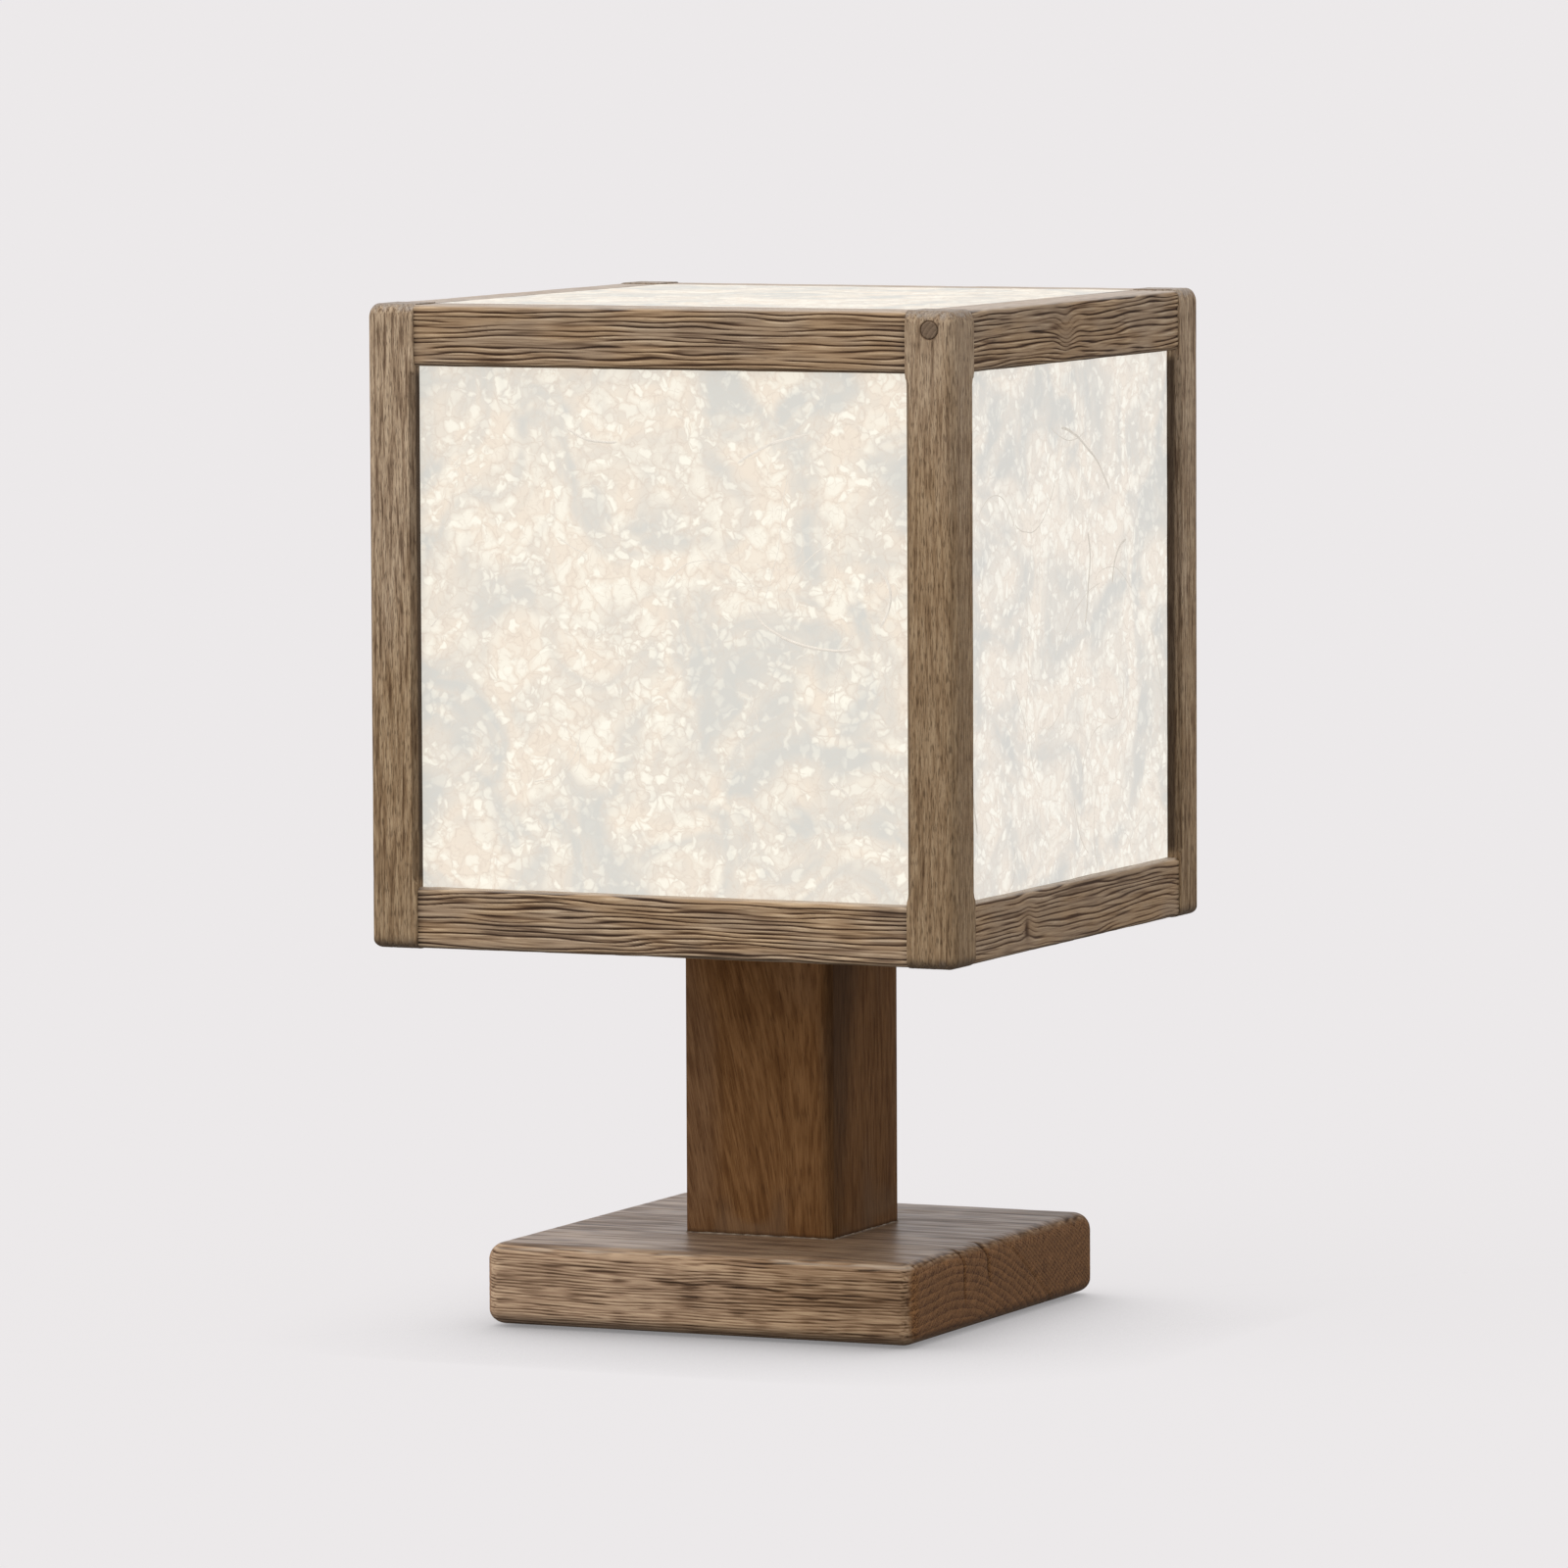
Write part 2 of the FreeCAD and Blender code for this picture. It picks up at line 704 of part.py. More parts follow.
def make_bulb():
    """Screw bulb: contact tip, insulator, screw cap, tapered body, light board and opal globe."""
    tip = turned(
        (0, tip_bottom),
        (tip_radius - tip_bevel, tip_bottom),
        (tip_radius, tip_top),
        (0, tip_top),
    )
    inner_cap = cap_radius - cap_wall
    insulator = turned(
        (0, tip_top),
        (tip_radius, tip_top),
        (insulator_radius, cap_bottom),
        (0, cap_bottom),
    )
    shell = turned(
        (0, cap_bottom),
        (insulator_radius, cap_bottom),
        (cap_radius, cap_bottom + cap_bevel),
        (cap_radius, cap_top),
        (inner_cap, cap_top),
        (inner_cap, cap_bottom + cap_bevel),
        (insulator_radius, cap_bottom + cap_wall),
        (0, cap_bottom + cap_wall),
    )
    neck_top = cap_top + bulb_neck_height
    plug = inner_cap - bulb_fit
    swell = ((bulb_neck_radius + bulb_rim_radius) / 2 + bulb_swell, neck_top + bulb_body_height / 2)
    board_bottom = bulb_rim - led_seat_depth
    body = turned(
        (0, cap_top - bulb_plug_depth),
        (plug, cap_top - bulb_plug_depth),
        (plug, cap_top),
        (bulb_neck_radius, cap_top),
        (bulb_neck_radius, neck_top),
        (swell, (bulb_rim_radius, bulb_rim)),
        (led_board_radius + bulb_fit, bulb_rim),
        (led_board_radius + bulb_fit, board_bottom),
        (0, board_bottom),
    )
    board = upright(led_board_radius, board_bottom, board_bottom + led_board_thickness)
    return {
        "bulb_tip": tip,
        "bulb_insulator": insulator,
        "bulb_cap": shell,
        "bulb_body": body,
        "bulb_board": board,
        "bulb_globe": make_globe(),
    }


def make_globe():
    """Opal globe: part of a thin ball, open where it sits on the rim of the bulb's body."""
    rise = (bulb_globe_radius ** 2 - bulb_rim_radius ** 2) ** 0.5
    middle = bulb_rim + rise
    centre = Vector(0, 0, middle)
    ball = Part.makeSphere(bulb_globe_radius, centre)
    hollow = Part.makeSphere(bulb_globe_radius - bulb_globe_wall, centre)
    keep = upright(bulb_globe_radius + past, bulb_rim, middle + bulb_globe_radius + past)
    return ball.cut(hollow).common(keep)


def main():
    pieces = {}
    for make in (
        make_posts,
        make_rails,
        make_frame_dowels,
        make_panels,
        make_cleats,
        make_cross,
        make_stem,
        make_stem_dowels,
        make_base,
        make_felt,
        make_bush,
        make_rod,
        make_holder,
        make_bulb,
    ):
        pieces.update(make())
    os.makedirs("parts", exist_ok=True)
    for name, shape in pieces.items():
        solids = shape.Solids
        print(name, "solids", len(solids), "valid", shape.isValid(), "volume", round(shape.Volume, 1))
        kept = solids[0] if len(solids) == 1 else shape
        kept.exportStep("parts/" + name + ".step")


main()
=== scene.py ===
"""Looks of a wooden table lamp with a paper lantern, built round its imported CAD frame."""
import math

import bpy
import numpy as np
from mathutils import Matrix, Vector


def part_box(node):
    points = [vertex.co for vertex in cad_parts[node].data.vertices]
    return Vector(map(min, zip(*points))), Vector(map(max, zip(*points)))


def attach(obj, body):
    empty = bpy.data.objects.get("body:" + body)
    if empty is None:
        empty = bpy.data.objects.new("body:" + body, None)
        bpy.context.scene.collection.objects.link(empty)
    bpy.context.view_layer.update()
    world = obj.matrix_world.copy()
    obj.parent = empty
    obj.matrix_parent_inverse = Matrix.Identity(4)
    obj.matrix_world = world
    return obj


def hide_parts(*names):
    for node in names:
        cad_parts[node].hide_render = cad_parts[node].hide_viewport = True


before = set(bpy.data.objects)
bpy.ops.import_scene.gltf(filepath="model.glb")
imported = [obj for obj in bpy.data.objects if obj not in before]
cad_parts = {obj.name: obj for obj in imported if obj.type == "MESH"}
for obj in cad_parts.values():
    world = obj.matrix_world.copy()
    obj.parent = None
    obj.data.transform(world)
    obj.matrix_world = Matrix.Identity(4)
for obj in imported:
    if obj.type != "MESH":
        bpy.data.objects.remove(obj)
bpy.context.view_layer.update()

MM = 0.001
PHOTO_SIDE = 1600

# The camera of the photograph, fitted to the corners of the lantern, stem and base.
CAMERA_PLACE = (2.0822, -4.6292, 0.6795)
CAMERA_YAW, CAMERA_PITCH, CAMERA_ROLL = 24.254, 4.805, 0.257
FOCAL_PIXELS = 10885
SENSOR_WIDTH = 36
CAMERA_FAR = 300

BACKGROUND = (236, 233, 234)
WORLD_LEVEL = 0.80
KEY_LEVEL = 1.55
KEY_SOFTNESS = 75
KEY_FROM = (-0.50, -0.62, 0.80)
KEY_COLOUR = (1.0, 0.985, 0.965)
FLOOR_SIZE = 160
FLOOR_BOUNCE = (0.45, 0.45, 0.45, 1.0)
FLOOR_SHADOW = 0.10
FLOOR_DIFFUSE = 0.88
# The shadow at the base's foot: its reach in metres, its darkest level, and the way that it leans.
CONTACT_REACH, CONTACT_LEAST, CONTACT_SAMPLES = 0.125, 0.18, 6
CONTACT_LEAN = (-0.291, 0.645, 0.707)


def paint(*levels):
    """A colour as it looks on a screen, red, green and blue from 0 to 255, in the shader's own scale."""
    parts = [level / 255 for level in levels]
    linear = [part / 12.92 if part < 0.04045 else ((part + 0.055) / 1.055) ** 2.4 for part in parts]
    return *linear, 1.0


def shades(*rows):
    """Places on a ramp of colours, each with its colour."""
    return [(place, paint(*colour)) for place, *colour in rows]


NOISE_SIDE = 48
# How far apart two boards or sheets lie in the pattern, for each step of their seeds.
BOARD_SHIFT, SHEET_SHIFT = np.array((53.0, 0, 0)), np.array((271.0, 97.0, 157.0))
MAP_MARGIN = 3.0
BAKE_MAP = "OFBake"
SHARP_ANGLE = 58
SIDES = ("front", "right", "back", "left")
CORNERS = ("front_right", "back_right", "back_left", "front_left")

# Edges and steps of the boards, in millimetres.
RAIL_EDGE, RAIL_STEP = 2.6, 1.7
POST_EDGE, POST_END, POST_CROWN, POST_STEP = 5.0, 4.0, 7.0, 0.42
BEVEL, BEVEL_RUN = 2.4, 5.0
STEM_EDGE = 1.2
BASE_EDGE, BASE_FOOT = 8.5, 7.0
PIN_EASE, PIN_SINK, PIN_SEAM, PIN_DEPTH = 0.5, 0.1, 0.35, 1.2
PIN_RINGS, PIN_SIDES = 14, 56
GLUE_RISE, GLUE_POINTS = 0.1, 90
CRACKS, SPLIT, FRAY = 16, 0.9, 0.6
# Splits in the base's right end (place, lowest share of its height, width) and in its front (place, height,
# run), and where the seam across that end starts and stops (place, height).
END_SPLITS = ((62, 0.25, 1.0), (91, 0.40, 1.4))
FRONT_SPLITS = ((104, 25, 20), (141, 24, 24), (168, 21, 13), (214, 30, 8), (200, 5, 9), (198, 35, 8))
SEAM_TOP, SEAM_FOOT = (114.7, 36.0), (162.8, 6.0)
FIBRES, FIBRE_STEP, FIBRE_MARGIN, FIBRE_SINK, FIBRE_FLAT = 40, 1.6, 4.0, 0.03, 0.35
COARSE_FIBRE, FINE_FIBRE = 0.7, (0.12, 0.28)
FELT_NAP = 0.35
PAPER_WAVE = 0.12
PAPER_GLOW = 0.88
PAPER_BODY = (0.14, 0.14, 0.14, 1.0)
# Saturation of each paper side: the front warmer and the right cooler, painted in for how light falls on each
# side.
PAPER_TONES = {"paper_front": 1.15, "paper_right": 0.86}
PAPER_THICK, PAPER_THIN = paint(219, 217, 211), paint(243, 232, 218)
PAPER_FLAKE, PAPER_STRAND = paint(255, 251, 239), paint(221, 209, 197)

# How each board's grain runs: sizes in millimetres, cuts as shares of the bite.
RAIL_LOOK = dict(
    ring=1.85, heart=(90, -100), wander=1.7, merge=0.65, spread=0.35, steep=0.09, gentle=0.18, line_run=30,
    faint=0.02, line_cut=0.92, crest=0.20, strand_run=20, strand=0.7, strand_cut=0.36, fibre_run=11,
    fibre=0.42, fibre_cut=0.30, bite=0.55)
# The height that more contrast leaves as it is, and how strongly the grain of each rail shows.
RAIL_MIDDLE, POST_MIDDLE = 0.66, 0.72
RAIL_CONTRAST = {"top_rail_": 1.0, "bottom_rail_": 1.15, "bottom_rail_right": 0.8}
POST_LOOK = dict(
    ring=1.9, heart=(-70, -64), wander=1.0, merge=0.5, spread=0.3, steep=0.13, gentle=0.22, line_run=14,
    faint=0.2, line_cut=0.14, crest=0.0, strand_run=16, strand=0.9, strand_cut=0.22, fibre_run=12, fibre=0.85,
    fibre_cut=0.30, bite=0.18)
# How much dimmer a post is, and how strongly its grain shows.
POST_TONES = {"post_front_right": (0.22, 1.0)}
PLAIN_POST_TONE = (0.0, 1.6)
STEM_LOOK = dict(
    POST_LOOK, ring=2.4, heart=(20, -150), merge=0.6, spread=0.0, steep=0.20, gentle=0.30, line_run=16,
    line_cut=0.0, strand=1.6, strand_cut=0.20, fibre=1.0, fibre_cut=0.24, bite=0.04)
BASE_LOOK = dict(
    ring=1.5, heart=(40, -160), wander=1.2, merge=0.45, spread=0.3, steep=0.13, gentle=0.24, line_run=20,
    faint=0.05, line_cut=0.50, crest=0.12, strand_run=12, strand=0.6, strand_cut=0.36, fibre_run=7,
    fibre=0.42, fibre_cut=0.32, bite=0.32)
STEM_SLANT = 0.19

# How each wood is coloured. The worn colour serves worn wood and the rails' painted highlights, the shaded
# colour painted shade.
OAK_PAINT = dict(
    stops=shades((0.00, 52, 36, 25), (0.30, 92, 69, 51), (0.60, 140, 115, 90), (0.85, 168, 142, 114),
                 (1.00, 196, 172, 143)),
    end_stops=shades((0.30, 124, 107, 90), (0.75, 178, 160, 141)),
    fibres=(0.06, 2.4, 2.4), pores=(0.12, 2.8, 2.8), streak=0.24, end_ring=2.2, end_share=0.45,
    ray_turn=0.0, ray_share=0.2, pore_range=(0.60, 0.72), pore_depth=0.40, pore_colour=paint(78, 58, 41),
    saturation=(0.92, 1.04), value=(0.93, 1.06), rough=(0.9, 0.75), specular=0.18, coat_rough=0.45,
    ripple=0.2, worn=paint(200, 186, 170), shaded=paint(48, 38, 30))
PIN_PAINT = dict(OAK_PAINT, end_stops=shades((0.25, 96, 78, 61), (0.80, 130, 108, 87)))
POST_PAINT = dict(
    OAK_PAINT,
    stops=shades((0.00, 74, 55, 39), (0.35, 120, 95, 72), (0.65, 164, 137, 108), (1.00, 200, 174, 143)),
    fibres=(0.11, 1.35, 1.35), pores=(0.19, 1.9, 1.9), pore_range=(0.52, 0.63), streak=0.80,
    pore_depth=0.62, end_share=0.30, saturation=(1.09, 0.93), value=(0.64, 0.905), shaded=paint(50, 37, 27))
STEM_PAINT = dict(
    OAK_PAINT,
    stops=shades((0.00, 56, 34, 20), (0.40, 84, 57, 36), (0.70, 104, 73, 47), (1.00, 132, 98, 67)),
    fibres=(0.06, 1.15, 1.15), pores=(0.11, 1.6, 1.6), pore_range=(0.55, 0.66), streak=0.75,
    pore_colour=paint(54, 33, 19), pore_depth=0.42, saturation=(0.97, 1.05), value=(0.95, 1.04),
    rough=(0.7, 0.6), specular=0.02, ripple=0.06, worn=paint(112, 92, 74), shaded=paint(44, 30, 19))
BASE_PAINT = dict(
    OAK_PAINT,
    stops=shades((0.00, 50, 34, 24), (0.35, 104, 79, 58), (0.65, 152, 123, 97), (1.00, 194, 165, 134)),
    end_stops=shades((0.38, 80, 53, 33), (0.74, 162, 119, 82)),
    streak=0.36, end_ring=4.0, end_share=0.18, ray_turn=0.62, ray_share=0.7,
    saturation=(0.94, 1.05), value=(1.06, 0.76), specular=0.16, coat_rough=0.35, worn=paint(200, 184, 166),
    shaded=paint(46, 40, 36))
# The dark and the pale colour of the unbrushed woods, and how fine they are along and across the grain.
INNER_WOODS = {
    "dowel_oak": (paint(120, 96, 72), paint(168, 140, 110)),
    "inner_wood": (paint(132, 104, 76), paint(186, 156, 122)),
}
INNER_ALONG, INNER_ACROSS = 0.025, 0.45
# The other inner pieces by slot: metals with their colour, roughness and dulled colour, and moulded ones with
# two colours, roughness and glow.
METALS = {
    "zinc_steel": ("zinc", (0.62, 0.63, 0.62, 1), 0.32, (0.42, 0.42, 0.40, 1)),
    "brass": ("brass_sheet", (0.76, 0.56, 0.25, 1), 0.28, (0.50, 0.36, 0.17, 1)),
    "solder_metal": ("solder", (0.60, 0.60, 0.58, 1), 0.38, (0.44, 0.44, 0.43, 1)),
    "nickel_cap": ("nickel", (0.68, 0.66, 0.60, 1), 0.25, (0.50, 0.48, 0.44, 1)),
    "board_aluminium": ("aluminium", (0.78, 0.78, 0.77, 1), 0.40, (0.6, 0.6, 0.6, 1)),
}
MOULDED = {
    "holder_plastic": ("holder_resin", paint(34, 32, 31), paint(46, 43, 41), 0.40),
    "bush_plastic": ("bush_nylon", paint(28, 27, 26), paint(40, 38, 36), 0.45),
    "white_ceramic": ("ceramic", paint(232, 228, 218), paint(215, 209, 197), 0.25),
    "black_insulator": ("insulator", paint(22, 22, 24), paint(36, 35, 36), 0.30),
    "bulb_plastic": ("bulb_shell", paint(226, 224, 219), paint(212, 209, 203), 0.45),
    "opal_globe": ("opal", paint(252, 244, 228), paint(246, 235, 214), 0.35, 0.9),
}

# Where a rail's grain bends: place along it, height, reach along and up, lift, and how dark its core is.
KNOTS = {
    "top_rail_right": ((112, 14, 9, 9, 3.0, 0.0),),
    "bottom_rail_right": ((64, 13, 7, 9, -2.4, 0.85),),
}


class Shader:
    """Adds nodes to the node tree of its owner, a material or the world, and links them."""

    def __init__(self, owner):
        self.owner = owner
        owner.use_nodes = True
        self.tree = owner.node_tree
        self.tree.nodes.clear()

    def node(self, kind, inputs=(), **settings):
        """A new node; its inputs come in order or by name, each a plain value or another node's output."""
        node = self.tree.nodes.new("ShaderNode" + kind)
        for key, value in settings.items():
            setattr(node, key, value)
        for key, value in inputs.items() if isinstance(inputs, dict) else enumerate(inputs):
            if isinstance(value, bpy.types.NodeSocket):
                self.tree.links.new(value, node.inputs[key])
            else:
                node.inputs[key].default_value = value
        return node

    def add(self, kind, inputs=(), out=0, **settings):
        return self.node(kind, inputs, **settings).outputs[out]

    def math(self, operation, first, second=0.0, clamp=False):
        return self.add("Math", (first, second), operation=operation, use_clamp=clamp)

    def times(self, first, second):
        return self.math("MULTIPLY", first, second)

    def mix(self, share, first, second, blend="MIX"):
        return self.add("Mix", {0: share, 6: first, 7: second}, out=2, data_type="RGBA", blend_type=blend)

    def span(self, value, low, high, to_low=0.0, to_high=1.0):
        return self.add("MapRange", (value, low, high, to_low, to_high))

    def ramp(self, value, stops):
        node = self.node("ValToRGB", (value,))
        elements = node.color_ramp.elements
        while len(elements) < len(stops):
            elements.new(0.5)
        for element, (place, colour) in zip(elements, stops):
            element.position = place
            element.color = colour
        return node.outputs[0]

    def stretch(self, vector, scale):
        return self.add("VectorMath", (vector, scale), operation="MULTIPLY")

    def shift(self, vector, amount):
        return self.add("VectorMath", (vector, amount), operation="ADD")

    def noise(self, vector, scale, detail=2.0, rough=0.5, distortion=0.0):
        return self.add("TexNoise", {
            "Vector": vector, "Scale": scale, "Detail": detail, "Roughness": rough, "Distortion": distortion})

    def value_of(self, name, out="Fac"):
        return self.add("Attribute", out=out, attribute_name=name)

    def millimetres(self):
        return self.stretch(self.add("TexCoord", out="Object"), (1 / MM,) * 3)

    def bump(self, height, strength, depth_mm):
        return self.add("Bump", {"Height": height, "Strength": strength, "Distance": depth_mm * MM})

    def surface(self, inputs):
        return self.finish(self.add("BsdfPrincipled", inputs))

    def finish(self, shader, kind="Material"):
        self.node("Output" + kind, {"Surface": shader})
        return self.owner


def new_shader(name):
    return Shader(bpy.data.materials.new(name))


def add_object(name, data):
    thing = bpy.data.objects.new(name, data)
    bpy.context.scene.collection.objects.link(thing)
    return thing


def make_camera():
    yaw, pitch, roll = map(math.radians, (CAMERA_YAW, CAMERA_PITCH, CAMERA_ROLL))
    level = math.cos(pitch)
    ahead = Vector((-math.sin(yaw) * level, math.cos(yaw) * level, -math.sin(pitch)))
    right = Vector((math.cos(yaw), math.sin(yaw), 0))
    down = ahead.cross(right)
    across = right * math.cos(roll) + down * math.sin(roll)
    up = right * math.sin(roll) - down * math.cos(roll)
    turn = Matrix((across, up, -ahead)).transposed()
    data = bpy.data.cameras.new("photo_camera")
    data.sensor_width = SENSOR_WIDTH
    data.lens = FOCAL_PIXELS * SENSOR_WIDTH / PHOTO_SIDE
    data.clip_end = CAMERA_FAR
    camera = add_object("photo_camera", data)
    camera.matrix_world = Matrix.Translation(CAMERA_PLACE) @ turn.to_4x4()
    bpy.context.scene.camera = camera


def seen_directly(shader):
    """1 for rays from the camera, and for those that a shiny or clear surface passes on."""
    path = shader.node("LightPath").outputs
    shiny = shader.math("MAXIMUM", path["Is Camera Ray"], path["Is Glossy Ray"])
    return shader.math("MAXIMUM", shiny, path["Is Transmission Ray"])


def make_world():
    world = bpy.data.worlds.new("studio")
    bpy.context.scene.world = world
    shader = Shader(world)
    light = shader.add("Background", {"Color": (1, 1, 1, 1), "Strength": WORLD_LEVEL})
    pale = shader.add("Background", {"Color": paint(*BACKGROUND), "Strength": 1.0})
    both = shader.add("MixShader", (seen_directly(shader), light, pale))
    shader.finish(both, "World")


def make_key_light():
    data = bpy.data.lights.new("key", "SUN")
    data.energy = KEY_LEVEL
    data.angle = math.radians(KEY_SOFTNESS)
    data.color = KEY_COLOUR
    key = add_object("key", data)
    key.rotation_euler = Vector(KEY_FROM).to_track_quat("Z", "Y").to_euler()


def make_floor():
    """A pale floor in the background's colour that keeps the lamp's shadow, darkest at the base."""
    half = FLOOR_SIZE / 2 / MM
    corners = half * np.array(((-1, -1, 0), (1, -1, 0), (1, 1, 0), (-1, 1, 0)))
    floor = add_piece("floor", corners, [(0, 1, 2, 3)])
    shader = new_shader("floor")
    pale = paint(*BACKGROUND)
    shaded = *(FLOOR_DIFFUSE * part for part in pale[:3]), 1.0
    lit = shader.add("BsdfDiffuse", {"Color": shaded})
    inputs = {"Distance": CONTACT_REACH, "Normal": shader.add("CombineXYZ", CONTACT_LEAN)}
    near = shader.add("AmbientOcclusion", inputs, out="AO", samples=CONTACT_SAMPLES)
    open_air = shader.span(near, 0.0, 1.0, CONTACT_LEAST, 1.0)
    even = shader.add("Emission", {"Color": pale, "Strength": open_air})
    shown = shader.add("MixShader", (FLOOR_SHADOW, even, lit))
    bounce = shader.add("BsdfDiffuse", {"Color": FLOOR_BOUNCE})
    both = shader.add("MixShader", (seen_directly(shader), bounce, shown))
    floor.data.materials.append(shader.finish(both))


noise_blocks = {}


def noise(seed, along, across, up):
    """Smooth random values from 0 to 1 that change over a distance of about one."""
    if seed not in noise_blocks:
        rng = np.random.default_rng(seed)
        noise_blocks[seed] = rng.random((NOISE_SIDE,) * 3, dtype=np.float32)
    block = noise_blocks[seed]
    places = np.broadcast_arrays(along, across, up)
    cells = [np.floor(place).astype(int) for place in places]
    parts = [place - cell for place, cell in zip(places, cells)]
    eased = [part * part * (3 - 2 * part) for part in parts]
    total = np.zeros(places[0].shape)
    for corner in np.ndindex(2, 2, 2):
        index = tuple((cell + step) % NOISE_SIDE for cell, step in zip(cells, corner))
        share = [ease if step else 1 - ease for ease, step in zip(eased, corner)]
        total += block[index] * share[0] * share[1] * share[2]
    return total


def swing(seed, along, across, up):
    """Smooth random values from -1 to 1."""
    return 2 * noise(seed, along, across, up) - 1


def grained(seed, places, run, size):
    """Smooth random values from 0 to 1, drawn out along the grain."""
    along, across, up = places.T
    return noise(seed, along / run, across / size, up / size)


def step_up(value, low, high):
    """0 below low, 1 above high and a smooth rise between them."""
    part = np.clip((value - low) / (high - low), 0, 1)
    return part * part * (3 - 2 * part)


def hump(value, middle, width):
    """1 at the middle, falling away to nothing over about that width."""
    return np.exp(-((value - middle) / width) ** 2)


def even_lines(length, step):
    return np.linspace(0, length, max(2, round(length / step) + 1))


def edged_lines(length, edge, fine, coarse):
    """Grid lines that stand closer together near both ends."""
    middle = edge + even_lines(length - 2 * edge, coarse)
    end = even_lines(edge, fine)
    return np.concatenate([end[:-1], middle[:-1], length - edge + end])


def box_grid(lines):
    """Vertices, quads and a flat map for the six sides of a box with these grid lines."""
    counts = [len(line) for line in lines]
    quads_by_side, maps, reach = [], [], 0.0
    for axis in range(3):
        first, second = (axis + 1) % 3, (axis + 2) % 3
        rows, columns = np.indices((counts[first], counts[second]))
        for end in (0, counts[axis] - 1):
            index = [None] * 3
            index[axis], index[first], index[second] = np.full_like(rows, end), rows, columns
            key = np.ravel_multi_index(index, counts)
            quads = np.stack([key[:-1, :-1], key[1:, :-1], key[1:, 1:], key[:-1, 1:]], -1)
            flat = np.stack([lines[first][rows], lines[second][columns]], -1)
            if np.ptp(lines[second]) > np.ptp(lines[first]):
                flat = flat[..., ::-1]
            flat = flat - flat.reshape(-1, 2).min(0) + (0, reach)
            reach = flat[..., 1].max() + MAP_MARGIN
            spread = np.stack([flat[:-1, :-1], flat[1:, :-1], flat[1:, 1:], flat[:-1, 1:]], -2)
            turn = slice(None, None, -1 if end == 0 else 1)
            quads_by_side.append(quads.reshape(-1, 4)[:, turn])
            maps.append(spread.reshape(-1, 4, 2)[:, turn])
    used, numbers = np.unique(np.concatenate(quads_by_side), return_inverse=True)
    places = np.stack([line[i] for line, i in zip(lines, np.unravel_index(used, counts))], 1)
    flat = np.concatenate(maps)
    return places, numbers.reshape(-1, 4), flat / flat.reshape(-1, 2).max(0)


def eased_box(places, low, high, radii):
    """Rounds the edges of a box: what lies outside low and high swings onto a round skin."""
    core = np.clip(places, low, high)
    out = (places - core) / radii
    length = np.linalg.norm(out, axis=1)
    most = np.abs(out).max(axis=1)
    scale = np.divide(most, length, out=np.ones_like(length), where=length > 0)
    return core + out * scale[:, None] * radii


def outward(places, size, margin):
    """Unit directions out of a box, turning smoothly round its edges."""
    core = np.clip(places, margin, np.subtract(size, margin))
    out = places - core
    length = np.linalg.norm(out, axis=1, keepdims=True)
    return np.divide(out, length, out=np.zeros_like(out), where=length > 1e-9)


def add_piece(name, places, faces, flat=None, values=None):
    """A smooth mesh from places in millimetres, with named numbers or vectors held at its vertices."""
    mesh = bpy.data.meshes.new(name)
    mesh.from_pydata(places * MM, [], faces)
    mesh.shade_smooth()
    mesh.set_sharp_from_angle(angle=math.radians(SHARP_ANGLE))
    if flat is not None:
        layer = mesh.uv_layers.new(name=BAKE_MAP)
        layer.uv.foreach_set("vector", flat.astype(np.float32).ravel())
    for key, numbers in (values or {}).items():
        kind, field = ("FLOAT", "value") if numbers.ndim == 1 else ("FLOAT_VECTOR", "vector")
        data = mesh.attributes.new(key, kind, "POINT").data
        data.foreach_set(field, numbers.astype(np.float32).ravel())
    return add_object(name, mesh)


def settle(piece, material, body):
    """Gives a new piece its material and sets it on a body."""
    piece.data.materials.append(material)
    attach(piece, body)


def dress(piece, material, slot, body, *nodes):
    """Settles a new piece in place of these nodes."""
    settle(piece, material, body)
    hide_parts(*nodes)
    return piece


def node_box(node):
    """Lowest corner and size of a CAD node, in millimetres."""
    low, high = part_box(node)
    return np.array(low) / MM, np.array(high - low) / MM


def quarter_turned(places, quarters):
    """Places turned about the lamp's upright axis by that many quarters."""
    turn = np.array(((0, 1, 0), (-1, 0, 0), (0, 0, 1)))
    return places @ np.linalg.matrix_power(turn, quarters)


def growth(places, seed, look, knots):
    """Distance from the heart of the tree, wavering along the grain and bent at knots."""
    along, across, up = places.T
    far = np.hypot(across - look["heart"][0], up - look["heart"][1])
    waves = ((0, 75, 26, look["wander"]), (1, 21, 8, 0.3 * look["wander"]), (7, 24, 3.5, look["merge"]))
    for step, run, size, reach in waves:
        far += reach * (2 * grained(seed + step, places, run, size) - 1)
    for place, level, width, height, lift, _ in knots:
        far += lift * hump(along, place, width) * hump(up, level, height)
    return far


def brushed(places, seed, look, knots=()):
    """Distance from the heart, and height of brushed wood, from 0 in its grooves to 1 on its crests."""
    far = growth(places, seed, look, knots)
    along = places[:, 0]
    turns = far / look["ring"] + look["spread"] * swing(seed + 8, along / 60, far / 4, 0)
    line = np.round(turns)
    part = turns - line
    groove = hump(part, 0, np.where(part < 0, look["steep"], look["gentle"]))
    crest = hump(part, -2.6 * look["steep"], 1.4 * look["steep"])
    depth = noise(seed + 2, along / look["line_run"], line, 0)
    depth = step_up(depth, look["faint"], look["faint"] + 0.5)
    strand = grained(seed + 3, places, look["strand_run"], look["strand"])
    fibre = grained(seed + 4, places, look["fibre_run"], look["fibre"])
    cut = look["line_cut"] * groove * depth - look["crest"] * crest * depth
    cut += look["strand_cut"] * step_up(strand, 0.52, 0.92)
    cut += look["fibre_cut"] * fibre
    return far, np.clip(0.94 - cut, 0, 1)


